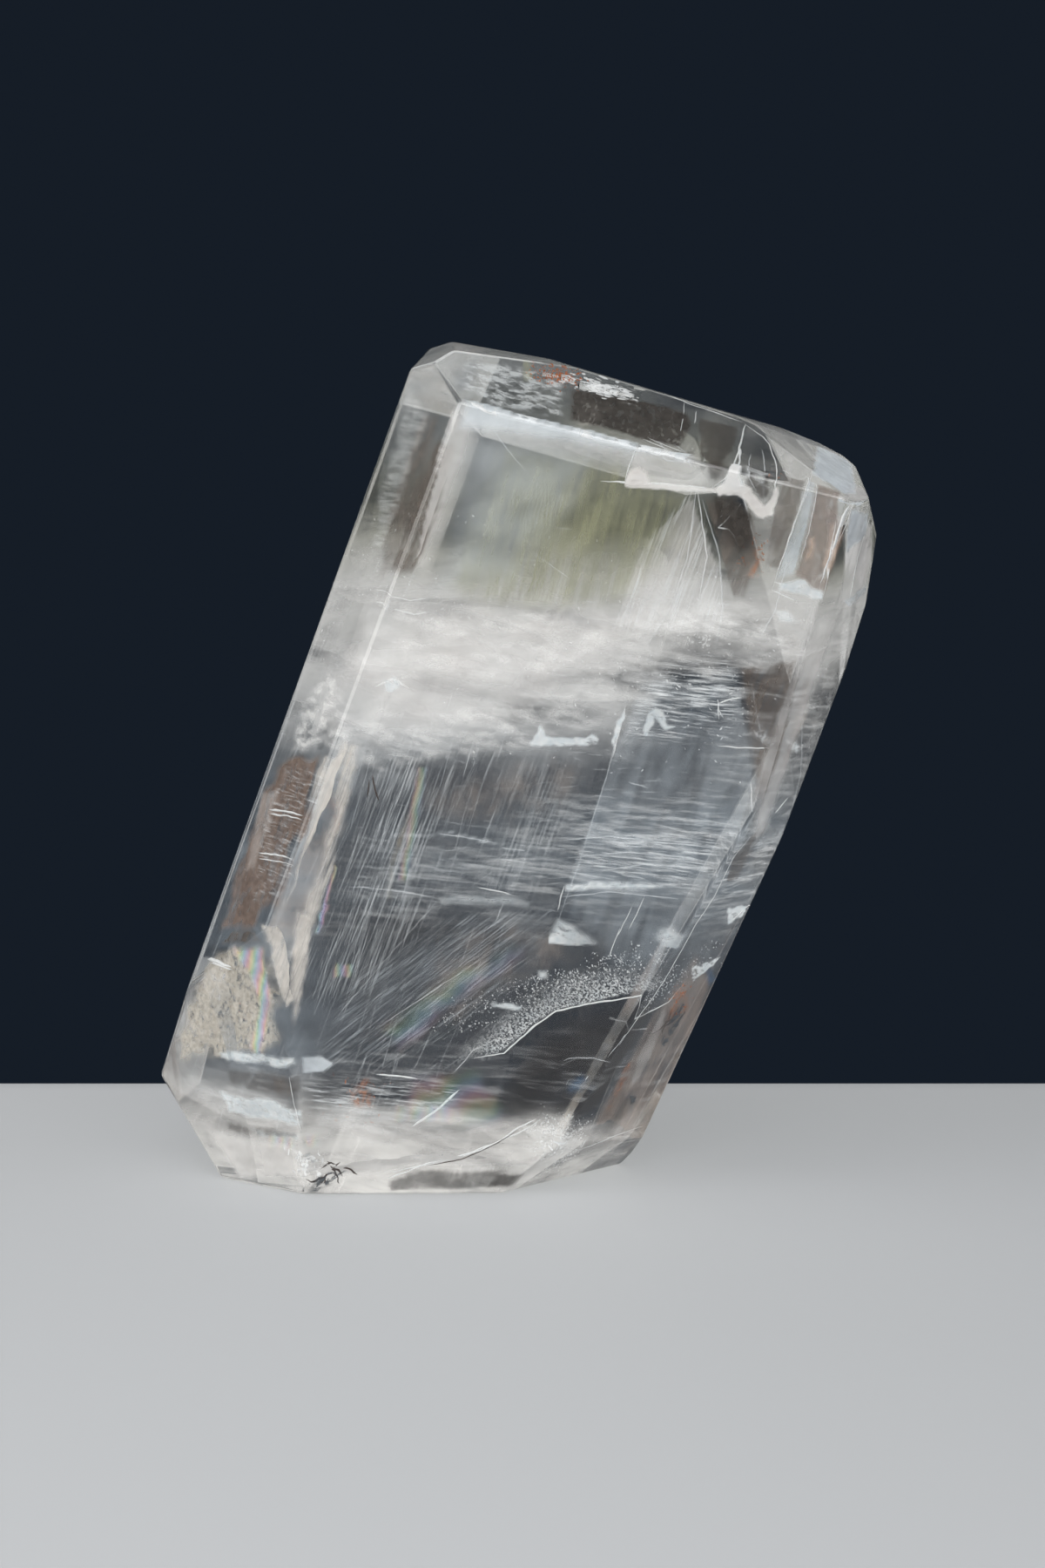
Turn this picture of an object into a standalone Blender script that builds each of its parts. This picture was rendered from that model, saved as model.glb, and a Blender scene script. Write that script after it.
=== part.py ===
# Calcite freeform: one block of clear calcite, ground flat on every side and polished, that stands
# leaning on its sawn base. Metres, +Z up. The origin is on the base plane, under the middle of the
# stone. The viewer of the front stands at -Y, and the stone leans towards +X.

import math

import bmesh
import bpy
from mathutils import Matrix, Vector

MM = 0.001

# Driving dimensions, in millimetres
CENTRE = (1.3, 0.5, 75.0)  # the point inside the stone from which facets and chips are measured
FRONT_REACH = 24.0  # from the centre to the broad front face
BACK_REACH = 23.0  # from the centre to the broad back face
ROUGH_SIZE = 240.0  # the side of the rough cube that the stone is ground from
EDGE_ROUNDING = 0.7  # how far the polishing wheel has taken each edge back
SOFTEST_EDGE = 6.0  # degrees between two facets below which their edge is left as ground

# Each facet is given as a gem cutter would: turn is the direction it faces in the front view, in
# degrees anticlockwise from +X, tip is how far it is tipped from there towards the viewer (negative:
# towards the back), and reach is its distance from the centre of the stone in millimetres.
OUTLINE_FACETS = {
    "left_side": (160.0, -6.0, 40.8),
    "base_corner": (214.0, -4.0, 85.6),
    "top_left_corner": (113.0, 4.0, 72.2),
    "top": (81.0, 3.0, 70.5),
    "top_slope": (73.5, -2.0, 69.2),
    "top_right_slope": (67.5, 3.0, 71.5),
    "right_brow": (16.5, 0.0, 71.3),
    "right_side": (-21.8, -8.0, 44.9),
}
FRONT_FACETS = {
    "front_left_bevel": (159.5, 35.0, 40.5),
    "front_low_left_bevel": (190.0, 52.0, 49.0),
    "front_top_bevel": (76.0, 28.0, 64.6),
    "front_top_right_bevel": (62.5, 14.0, 72.3),
    "front_right_bevel": (-16.0, 34.0, 47.2),
    "front_high_right_bevel": (-11.0, 22.0, 52.6),
    "front_low_right_bevel": (-29.8, 38.0, 44.8),
    "front_base_corner": (-54.0, 31.0, 61.2),
    "front_bottom_bevel": (-88.0, 60.0, 56.0),
}
BACK_FACETS = {
    "back_left_bevel": (160.0, -52.0, 34.0),
    "back_top_bevel": (74.0, -38.0, 55.5),
    "back_right_bevel": (-17.0, -64.0, 27.0),
    "back_high_right_bevel": (1.0, -42.0, 42.0),
    "back_low_right_bevel": (-24.0, -38.0, 37.0),
    "back_bottom_bevel": (-96.0, -50.0, 60.0),
}

# Calcite splits along three planes only, so every chip is a slanted block with these three edge
# directions: to the right, up along the lean, and out towards the viewer.
CLEAVAGE_EDGES = (
    Vector((0.990, 0.0, -0.139)),
    Vector((0.342, 0.0, 0.940)),
    Vector((0.170, -0.980, 0.100)),
)
# For each chip: its innermost corner, measured from the centre of the stone, then how far the block
# that broke away ran along each of the three directions, all in millimetres.
CHIPS = {
    "top_edge_flake": ((9.6, -10.2, 66.0), (10.0, 6.0, 8.0)),
    "stained_pit_left": ((3.3, -9.8, 68.3), (3.0, 6.0, 8.0)),
    "stained_pit_right": ((6.6, -9.7, 67.6), (2.6, 6.0, 8.0)),
    "top_edge_nick": ((19.4, -7.4, 65.9), (2.2, 3.0, 4.0)),
    "right_edge_ledge": ((60.5, -8.0, 28.8), (4.0, 2.2, 10.0)),
    "front_edge_nick": ((17.8, -23.4, -46.4), (4.0, 1.6, 4.0)),
    "front_edge_small_nick": ((20.1, -23.5, -42.8), (3.0, 1.2, 3.0)),
    "bruise_top": ((8.3, -23.2, -63.0), (5.0, 2.0, 4.0)),
    "bruise_middle": ((6.6, -23.1, -66.4), (5.0, 2.4, 4.0)),
    "bruise_bottom": ((4.6, -23.2, -69.1), (5.0, 1.6, 4.0)),
}


def millimetres(place):
    """A point given in millimetres, in metres."""
    return Vector(place) * MM


def facing(turn, tip):
    """The outward direction of a facet."""
    turn, tip = math.radians(turn), math.radians(tip)
    return Vector((math.cos(turn) * math.cos(tip), -math.sin(tip), math.sin(turn) * math.cos(tip)))


def grind(stone, point, outward):
    """Takes off all that lies beyond a plane, and closes the stone with the new flat facet."""
    everything = stone.verts[:] + stone.edges[:] + stone.faces[:]
    cut = bmesh.ops.bisect_plane(
        stone, geom=everything, plane_co=point, plane_no=outward, clear_outer=True, dist=1e-7
    )
    rim = [part for part in cut["geom_cut"] if isinstance(part, bmesh.types.BMEdge)]
    bmesh.ops.contextual_create(stone, geom=rim)


def grind_facets(stone):
    centre = millimetres(CENTRE)
    grind(stone, Vector((0, 0, 0)), Vector((0, 0, -1)))
    grind(stone, centre + Vector((0, -FRONT_REACH * MM, 0)), Vector((0, -1, 0)))
    grind(stone, centre + Vector((0, BACK_REACH * MM, 0)), Vector((0, 1, 0)))
    for facets in (OUTLINE_FACETS, FRONT_FACETS, BACK_FACETS):
        for turn, tip, reach in facets.values():
            outward = facing(turn, tip)
            grind(stone, centre + outward * (reach * MM), outward)


def calcite_material():
    material = bpy.data.materials.new("polished_clear_calcite")
    material.use_nodes = True
    surface = material.node_tree.nodes["Principled BSDF"]
    surface.inputs["Base Color"].default_value = (0.93, 0.94, 0.92, 1)
    surface.inputs["Roughness"].default_value = 0.04
    surface.inputs["Metallic"].default_value = 0.0
    surface.inputs["IOR"].default_value = 1.6
    surface.inputs["Transmission Weight"].default_value = 1.0
    return material


def make_stone(collection):
    mesh = bpy.data.meshes.new("calcite")
    stone = bmesh.new()
    bmesh.ops.create_cube(
        stone, size=ROUGH_SIZE * MM, matrix=Matrix.Translation(millimetres(CENTRE))
    )
    grind_facets(stone)
    bmesh.ops.recalc_face_normals(stone, faces=stone.faces[:])
    stone.to_mesh(mesh)
    stone.free()
    mesh.materials.append(calcite_material())
    calcite = bpy.data.objects.new("calcite", mesh)
    collection.objects.link(calcite)
    rounding = calcite.modifiers.new("polished_edges", "BEVEL")
    rounding.width = EDGE_ROUNDING * MM
    rounding.segments = 2
    rounding.limit_method = "ANGLE"
    rounding.angle_limit = math.radians(SOFTEST_EDGE)
    return calcite


def make_chip_cutter(name, corner, lengths, collection):
    """A slanted block that runs from its innermost corner out of the stone."""
    mesh = bpy.data.meshes.new(name)
    block = bmesh.new()
    bmesh.ops.create_cube(block, size=1.0, matrix=Matrix.Translation((0.5, 0.5, 0.5)))
    edges = [along * (length * MM) for along, length in zip(CLEAVAGE_EDGES, lengths)]
    slant = Matrix(edges).transposed()
    bmesh.ops.transform(block, matrix=slant.to_4x4(), verts=block.verts[:])
    bmesh.ops.translate(block, vec=millimetres(CENTRE) + millimetres(corner), verts=block.verts[:])
    bmesh.ops.recalc_face_normals(block, faces=block.faces[:])
    block.to_mesh(mesh)
    block.free()
    cutter = bpy.data.objects.new(name, mesh)
    collection.objects.link(cutter)
    cutter.hide_render = True
    cutter.display_type = "WIRE"
    return cutter


def break_chips(calcite, collection):
    """Breaks the chips out of the polished stone, so that their edges stay sharp."""
    for name, (corner, lengths) in CHIPS.items():
        chipping = calcite.modifiers.new(name, "BOOLEAN")
        chipping.operation = "DIFFERENCE"
        chipping.solver = "EXACT"
        chipping.object = make_chip_cutter(name, corner, lengths, collection)


def main():
    for leftover in list(bpy.data.objects):
        bpy.data.objects.remove(leftover, do_unlink=True)
    stone_collection = bpy.data.collections.new("calcite_freeform")
    cutter_collection = bpy.data.collections.new("chip_cutters")
    bpy.context.scene.collection.children.link(stone_collection)
    bpy.context.scene.collection.children.link(cutter_collection)
    calcite = make_stone(stone_collection)
    break_chips(calcite, cutter_collection)


main()
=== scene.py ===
import math
import random

import bmesh
import bpy
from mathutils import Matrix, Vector, noise


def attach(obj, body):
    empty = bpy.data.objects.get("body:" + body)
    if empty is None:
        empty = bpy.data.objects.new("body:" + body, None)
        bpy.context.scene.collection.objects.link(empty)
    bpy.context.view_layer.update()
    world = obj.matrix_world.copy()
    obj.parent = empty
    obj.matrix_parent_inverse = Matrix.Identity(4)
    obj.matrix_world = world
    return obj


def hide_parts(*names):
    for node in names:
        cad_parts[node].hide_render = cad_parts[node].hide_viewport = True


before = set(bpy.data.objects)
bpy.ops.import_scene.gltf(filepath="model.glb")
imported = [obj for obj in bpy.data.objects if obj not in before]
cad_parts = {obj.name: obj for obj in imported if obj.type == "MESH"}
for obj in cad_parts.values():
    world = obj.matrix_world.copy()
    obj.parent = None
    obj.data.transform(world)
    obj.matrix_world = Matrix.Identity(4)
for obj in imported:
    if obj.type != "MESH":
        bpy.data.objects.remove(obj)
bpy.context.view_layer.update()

mm = 0.001
scene = bpy.context.scene
noise.seed_set(7)  # without it, noise_vector and the cracks' rims differ in each run


def srgb(code, alpha=1.0):
    # hex colour as a picture editor shows it, turned to the linear values that shaders take
    parts = [int(code[i:i + 2], 16) / 255 for i in (1, 3, 5)]
    return (*[p / 12.92 if p <= 0.04045 else ((p + 0.055) / 1.055) ** 2.4 for p in parts], alpha)


def addNode(tree, kind, values=None, links=None, **settings):
    # one node: settings are its properties, values its sockets, links the sockets fed by other nodes
    node = tree.nodes.new(kind)
    for name, value in settings.items():
        setattr(node, name, value)
    for name, value in (values or {}).items():
        node.inputs[name].default_value = value
    for name, source in (links or {}).items():
        tree.links.new(source, node.inputs[name])
    return node


def newMaterial(name):
    material = bpy.data.materials.new(name)
    material.use_nodes = True
    tree = material.node_tree
    return material, tree, tree.nodes["Principled BSDF"]


def link(obj):
    scene.collection.objects.link(obj)
    return obj


def addPiece(name, mesh, material):
    # a finished piece: its mesh already lies in the row frame
    piece = link(bpy.data.objects.new(name, mesh))
    mesh.name = name
    mesh.materials.clear()
    mesh.materials.append(material)
    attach(piece, "root")
    return piece


def at(x, y, z):
    return Vector((x, y, z)) * mm


cameraSpec = {
    "target": at(1.45, 0.5, 69.9),
    "distance": 765 * mm,
    "elevation": 9.0,  # degrees above the level, as in the photo
    "lens": 98.1,  # mm
}


def addCamera(spec):
    data = bpy.data.cameras.new("photoCamera")
    data.lens = spec["lens"]
    data.sensor_width = 36
    data.clip_start = 0.01
    data.clip_end = 20
    camera = link(bpy.data.objects.new("photoCamera", data))
    rise = math.radians(spec["elevation"])
    away = Vector((0, -math.cos(rise), math.sin(rise)))
    camera.location = spec["target"] + away * spec["distance"]
    camera.rotation_euler = (-away).to_track_quat("-Z", "Y").to_euler()
    scene.camera = camera


floorSpec = {
    "front": -0.62,  # metres along Y
    "back": 0.06,
    "halfWidth": 0.9,
    "roll": 0.05,  # radius of the paper's roll over the table's far edge
    "rollSteps": 12,
    "drop": 0.5,
    "sunk": 0.00005,  # so that the paper and the stone's base don't share a plane
    "colour": "#b2b4b6",
    "roughness": 0.75,
}


def addFloor(spec):
    # a sheet of pale paper that runs flat under the stone and rolls down behind it
    profile = [(spec["front"], 0.0), (spec["back"], 0.0)]
    radius, steps = spec["roll"], spec["rollSteps"]
    for step in range(1, steps + 1):
        turn = math.radians(90 * step / steps)
        profile.append((spec["back"] + math.sin(turn) * radius, (math.cos(turn) - 1) * radius))
    profile.append((spec["back"] + radius, -spec["drop"]))
    mesh = bpy.data.meshes.new("paleFloor")
    sheet = bmesh.new()
    sides = (-spec["halfWidth"], spec["halfWidth"])
    rows = [[sheet.verts.new((x, y, z - spec["sunk"])) for x in sides] for y, z in profile]
    for near, far in zip(rows, rows[1:]):
        sheet.faces.new((near[0], near[1], far[1], far[0]))
    sheet.to_mesh(mesh)
    sheet.free()
    mesh.shade_smooth()
    material, tree, surface = newMaterial("palePaper")  # matt paper: it shows soft shade and no gloss
    surface.inputs["Base Color"].default_value = srgb(spec["colour"])
    surface.inputs["Roughness"].default_value = spec["roughness"]
    mesh.materials.append(material)
    link(bpy.data.objects.new("paleFloor", mesh))


# places and sizes in metres, power in watts
lightSpecs = {
    "topSoftbox": {"at": (-0.15, -0.38, 0.85), "size": (1.3, 1.1), "power": 5.0, "colour": "#ffffff"},
    "leftSoftbox": {"at": (-0.70, -0.66, 0.60), "size": (1.2, 1.2), "power": 11.0, "colour": "#fffefc"},
    "rightSoftbox": {"at": (0.85, -0.25, 0.50), "size": (0.7, 0.9), "power": 1.6, "colour": "#f3f6ff"},
    "frontFill": {"at": (0.25, -1.20, 0.95), "size": (1.4, 1.0), "power": 10.0, "colour": "#ffffff"},
    "backFill": {"at": (-0.35, 0.95, 0.85), "size": (1.1, 0.8), "power": 3.4, "colour": "#ffffff"},
}
backdrop = {"colour": "#202935", "strength": 0.55}


def addLights(specs):
    aim = at(0, 0, 70)
    for name, spec in specs.items():
        data = bpy.data.lights.new(name, "AREA")
        data.shape = "RECTANGLE"
        data.size, data.size_y = spec["size"]
        data.energy = spec["power"]
        data.color = srgb(spec["colour"])[:3]
        lamp = link(bpy.data.objects.new(name, data))
        lamp.visible_transmission = False  # no glaring image of a lamp inside the stone
        lamp.location = spec["at"]
        lamp.rotation_euler = (aim - Vector(spec["at"])).to_track_quat("-Z", "Y").to_euler()
    world = bpy.data.worlds.new("studio")
    scene.world = world
    world.use_nodes = True
    sky = world.node_tree.nodes["Background"]
    sky.inputs["Color"].default_value = srgb(backdrop["colour"])
    sky.inputs["Strength"].default_value = backdrop["strength"]


addCamera(cameraSpec)
addFloor(floorSpec)
addLights(lightSpecs)
print("stage set")

stoneSpec = {
    "ior": 1.6,  # calcite has two, 1.49 and 1.66: this is near their mean
    "tint": "#fdfdfc",
    "depthTint": "#eef0ee",
    "depthDensity": 1.0,
    "roughness": 0.03,
    "polishSize": 6,  # mm, how far apart better and worse polished places lie
    "waveSize": 14,  # mm, the slight waviness that polishing by hand leaves
    "waveDepth": 0.02,  # mm
    "shadowTint": "#f3f3f1",  # what the stone takes from the light that falls through it
    "mergeWithin": 0.02,  # mm, to join the node's loose triangles
    "flatWithin": 0.4,  # degrees
    "sharpFrom": 50,  # degrees: the chips' edges, while the polished ones stay soft
}


def clearCalcite(spec):
    # polished calcite, water-clear, so the eye sees through it to its cracks and clouds
    material, tree, surface = newMaterial("polishedClearCalcite")
    surface.inputs["Base Color"].default_value = srgb(spec["tint"])
    surface.inputs["IOR"].default_value = spec["ior"]
    surface.inputs["Transmission Weight"].default_value = 1.0
    place = addNode(tree, "ShaderNodeTexCoord").outputs["Object"]
    waves = addNode(tree, "ShaderNodeTexNoise", {"Scale": 1 / (spec["waveSize"] * mm), "Detail": 1.5},
                    {"Vector": place})
    bump = addNode(tree, "ShaderNodeBump", {"Strength": 1.0, "Distance": spec["waveDepth"] * mm},
                   {"Height": waves.outputs["Fac"]})
    tree.links.new(bump.outputs[0], surface.inputs["Normal"])
    haze = addNode(tree, "ShaderNodeTexNoise", {"Scale": 1 / (spec["polishSize"] * mm), "Detail": 5.0},
                   {"Vector": place})
    least, most = spec["roughness"] * 0.4, spec["roughness"] * 1.6
    polish = addNode(tree, "ShaderNodeMapRange", {"To Min": least, "To Max": most},
                     {"Value": haze.outputs["Fac"]})
    tree.links.new(polish.outputs[0], surface.inputs["Roughness"])
    output = tree.nodes["Material Output"]
    path = addNode(tree, "ShaderNodeLightPath")
    passing = addNode(tree, "ShaderNodeBsdfTransparent", {"Color": srgb(spec["shadowTint"])})
    mix = addNode(tree, "ShaderNodeMixShader", None, {"Fac": path.outputs["Is Shadow Ray"]})
    tree.links.new(surface.outputs[0], mix.inputs[1])
    tree.links.new(passing.outputs[0], mix.inputs[2])
    tree.links.new(mix.outputs[0], output.inputs["Surface"])
    depth = addNode(tree, "ShaderNodeVolumeAbsorption",
                    {"Color": srgb(spec["depthTint"]), "Density": spec["depthDensity"]})
    tree.links.new(depth.outputs[0], output.inputs["Volume"])
    return material


def makeStone(spec):
    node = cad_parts["calcite"]
    mesh = node.data.copy()
    body = bmesh.new()
    body.from_mesh(mesh)
    body.transform(node.matrix_world)
    bmesh.ops.remove_doubles(body, verts=body.verts[:], dist=spec["mergeWithin"] * mm)
    bmesh.ops.dissolve_limit(body, angle_limit=math.radians(spec["flatWithin"]), verts=body.verts[:],
                             edges=body.edges[:])
    bmesh.ops.recalc_face_normals(body, faces=body.faces[:])
    body.to_mesh(mesh)
    body.free()
    mesh.shade_smooth()
    mesh.set_sharp_from_angle(angle=math.radians(spec["sharpFrom"]))
    stone = addPiece("calciteStone", mesh, clearCalcite(spec))
    shading = stone.modifiers.new("crispFacets", "WEIGHTED_NORMAL")
    shading.keep_sharp = True
    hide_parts("calcite")
    return stone


smallestFacet = 20 * mm * mm
flushWithin = 0.05 * mm


def facetPlanes(mesh):
    # the flat facets that bound the stone, as (outward direction, reach); the chips are left out
    points = [v.co for v in mesh.vertices]
    planes = []
    for face in mesh.polygons:
        reach = face.normal.dot(points[face.vertices[0]])
        if face.area > smallestFacet and max(face.normal.dot(p) for p in points) < reach + flushWithin:
            planes.append((face.normal.copy(), reach))
    return planes


stone = makeStone(stoneSpec)
facets = facetPlanes(stone.data)
print("stone ground,", len(facets), "facets")


def ease(x):
    x = max(0.0, min(1.0, x))
    return x * x * (3 - 2 * x)


# mm of clear stone left between the facets and what lies inside
margins = {"veil": 0.6, "crack": 0.5, "thread": 0.5, "twig": 0.7}


def trimInside(sheet, margin):
    # cuts away what would reach out of the stone
    for facing, reach in facets:
        everything = sheet.verts[:] + sheet.edges[:] + sheet.faces[:]
        if everything:
            bmesh.ops.bisect_plane(sheet, geom=everything, plane_co=facing * (reach - margin),
                                   plane_no=facing, clear_outer=True, dist=1e-7)


def keepInside(place, margin):
    # moves a point back into the stone
    for facing, reach in facets:
        over = facing.dot(place) - reach + margin
        if over > 0:
            place = place - facing * over
    return place


def finishInner(name, sheet, material):
    # what lies in the stone takes light but throws no shadow: the real films are far thinner than these
    mesh = bpy.data.meshes.new(name)
    sheet.to_mesh(mesh)
    sheet.free()
    mesh.shade_smooth()
    piece = addPiece(name, mesh, material)
    piece.visible_shadow = False
    return piece


tallest = 150  # mm, where the colours by height end


def setStops(ramp, stops):
    # colour stops of a ramp, from a list of (place, hex colour)
    while len(ramp.elements) > 1:
        ramp.elements.remove(ramp.elements[-1])
    ramp.elements[0].position, ramp.elements[0].color = stops[0][0], srgb(stops[0][1])
    for spot, code in stops[1:]:
        ramp.elements.new(spot).color = srgb(code)


def filmMaterial(name, spec):
    # a thin film in a crack or a haze of tiny bubbles: see-through where its pattern is open
    material, tree, surface = newMaterial(name)
    place = addNode(tree, "ShaderNodeTexCoord").outputs["Object"]
    turn = (0, math.radians(spec["tilt"]), 0)
    stretched = addNode(tree, "ShaderNodeMapping",
                        {"Rotation": turn, "Scale": [size * mm for size in spec["grain"]]},
                        {"Vector": place}, vector_type="TEXTURE")
    fibres = addNode(tree, "ShaderNodeTexNoise",
                     {"Scale": 1.0, "Detail": spec["detail"], "Roughness": 0.6, "Distortion": spec["swirl"]},
                     {"Vector": stretched.outputs[0]})
    gaps = addNode(tree, "ShaderNodeMapRange",
                   {"From Min": spec["clearBelow"], "From Max": spec["fullAbove"], "To Max": spec["opacity"]},
                   {"Value": fibres.outputs["Fac"]}, interpolation_type="SMOOTHSTEP")
    fade = addNode(tree, "ShaderNodeAttribute", attribute_name="fade")
    alpha = addNode(tree, "ShaderNodeMath", None,
                    {0: gaps.outputs[0], 1: fade.outputs["Fac"]}, operation="MULTIPLY", use_clamp=True)
    # colours by height, which carry the haze's painted light and shade
    if "heights" in spec:
        height = addNode(tree, "ShaderNodeSeparateXYZ", None, {0: place})
        share = addNode(tree, "ShaderNodeMath", {1: 1 / (tallest * mm)}, {0: height.outputs["Z"]},
                        operation="MULTIPLY")
        colour = addNode(tree, "ShaderNodeValToRGB", None, {0: share.outputs[0]})
        setStops(colour.color_ramp, [(z / tallest, code) for z, code in spec["heights"]])
        tree.links.new(colour.outputs[0], surface.inputs["Base Color"])
    else:
        blotches = addNode(tree, "ShaderNodeTexNoise", {"Scale": 1 / (spec["blotch"] * mm), "Detail": 4.0},
                           {"Vector": place})
        tints = addNode(tree, "ShaderNodeMix", {6: srgb(spec["pale"]), 7: srgb(spec["deep"])},
                        {0: blotches.outputs["Fac"]}, data_type="RGBA")
        tree.links.new(tints.outputs[2], surface.inputs["Base Color"])
    tree.links.new(alpha.outputs[0], surface.inputs["Alpha"])
    surface.inputs["Roughness"].default_value = spec["roughness"]
    surface.inputs["Specular IOR Level"].default_value = spec["gloss"]
    return material


def grainMaterial(name, spec):
    # loose grains and short needles: one colour that varies from place to place
    material, tree, surface = newMaterial(name)
    place = addNode(tree, "ShaderNodeTexCoord").outputs["Object"]
    blotches = addNode(tree, "ShaderNodeTexNoise", {"Scale": 1 / (spec["blotch"] * mm), "Detail": 3.0},
                       {"Vector": place})
    tints = addNode(tree, "ShaderNodeMix", {6: srgb(spec["pale"]), 7: srgb(spec["deep"])},
                    {0: blotches.outputs["Fac"]}, data_type="RGBA")
    tree.links.new(tints.outputs[2], surface.inputs["Base Color"])
    surface.inputs["Alpha"].default_value = spec["opacity"]
    surface.inputs["Roughness"].default_value = spec["roughness"]
    surface.inputs["Specular IOR Level"].default_value = 0.2
    return material


rainbowHues = [(0.0, "#e9a9b4"), (0.2, "#ecd9a0"), (0.4, "#a9dcae"), (0.6, "#9fd0e8"), (0.8, "#c4b2e2"),
               (1.0, "#e9a9b4")]


def rainbowMaterial(name, spec):
    # a crack so thin that it splits light: bands of colour, one after another
    material, tree, surface = newMaterial(name)
    place = addNode(tree, "ShaderNodeTexCoord").outputs["Object"]
    turned = addNode(tree, "ShaderNodeMapping",
                     {"Rotation": (0, math.radians(spec["tilt"]), 0), "Scale": [spec["band"] * 3 * mm] * 3},
                     {"Vector": place}, vector_type="TEXTURE")
    swirl = addNode(tree, "ShaderNodeTexNoise", {"Scale": 1 / (spec["swirlSize"] * mm), "Detail": 3.0},
                    {"Vector": place})
    along = addNode(tree, "ShaderNodeSeparateXYZ", None, {0: turned.outputs[0]})
    shifted = addNode(tree, "ShaderNodeMath", None, {0: swirl.outputs["Fac"], 1: along.outputs["X"]},
                      operation="ADD")
    phase = addNode(tree, "ShaderNodeMath", None, {0: shifted.outputs[0]}, operation="FRACT")
    colour = addNode(tree, "ShaderNodeValToRGB", None, {0: phase.outputs[0]})
    setStops(colour.color_ramp, rainbowHues)
    fade = addNode(tree, "ShaderNodeAttribute", attribute_name="fade")
    alpha = addNode(tree, "ShaderNodeMath", {1: spec["opacity"]}, {0: fade.outputs["Fac"]},
                    operation="MULTIPLY")
    tree.links.new(colour.outputs[0], surface.inputs["Base Color"])
    tree.links.new(alpha.outputs[0], surface.inputs["Alpha"])
    surface.inputs["Roughness"].default_value = 0.3
    return material


# painted light and shade by height: a near-white foot of reflected light, a blue-grey clear middle
tintLightAndShadeByHeight = [(0, "#efedeb"), (13, "#e4e2e0"), (22, "#858e97"), (66, "#818c96"), (80, "#b4b6b8"),
            (92, "#c9c9c9"), (106, "#c5c5c4"), (117, "#949483"), (128, "#979b9b"), (146, "#b0b3b5")]
wispWhite = [(0, "#f4f6f8"), (tallest, "#f4f6f8")]

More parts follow.
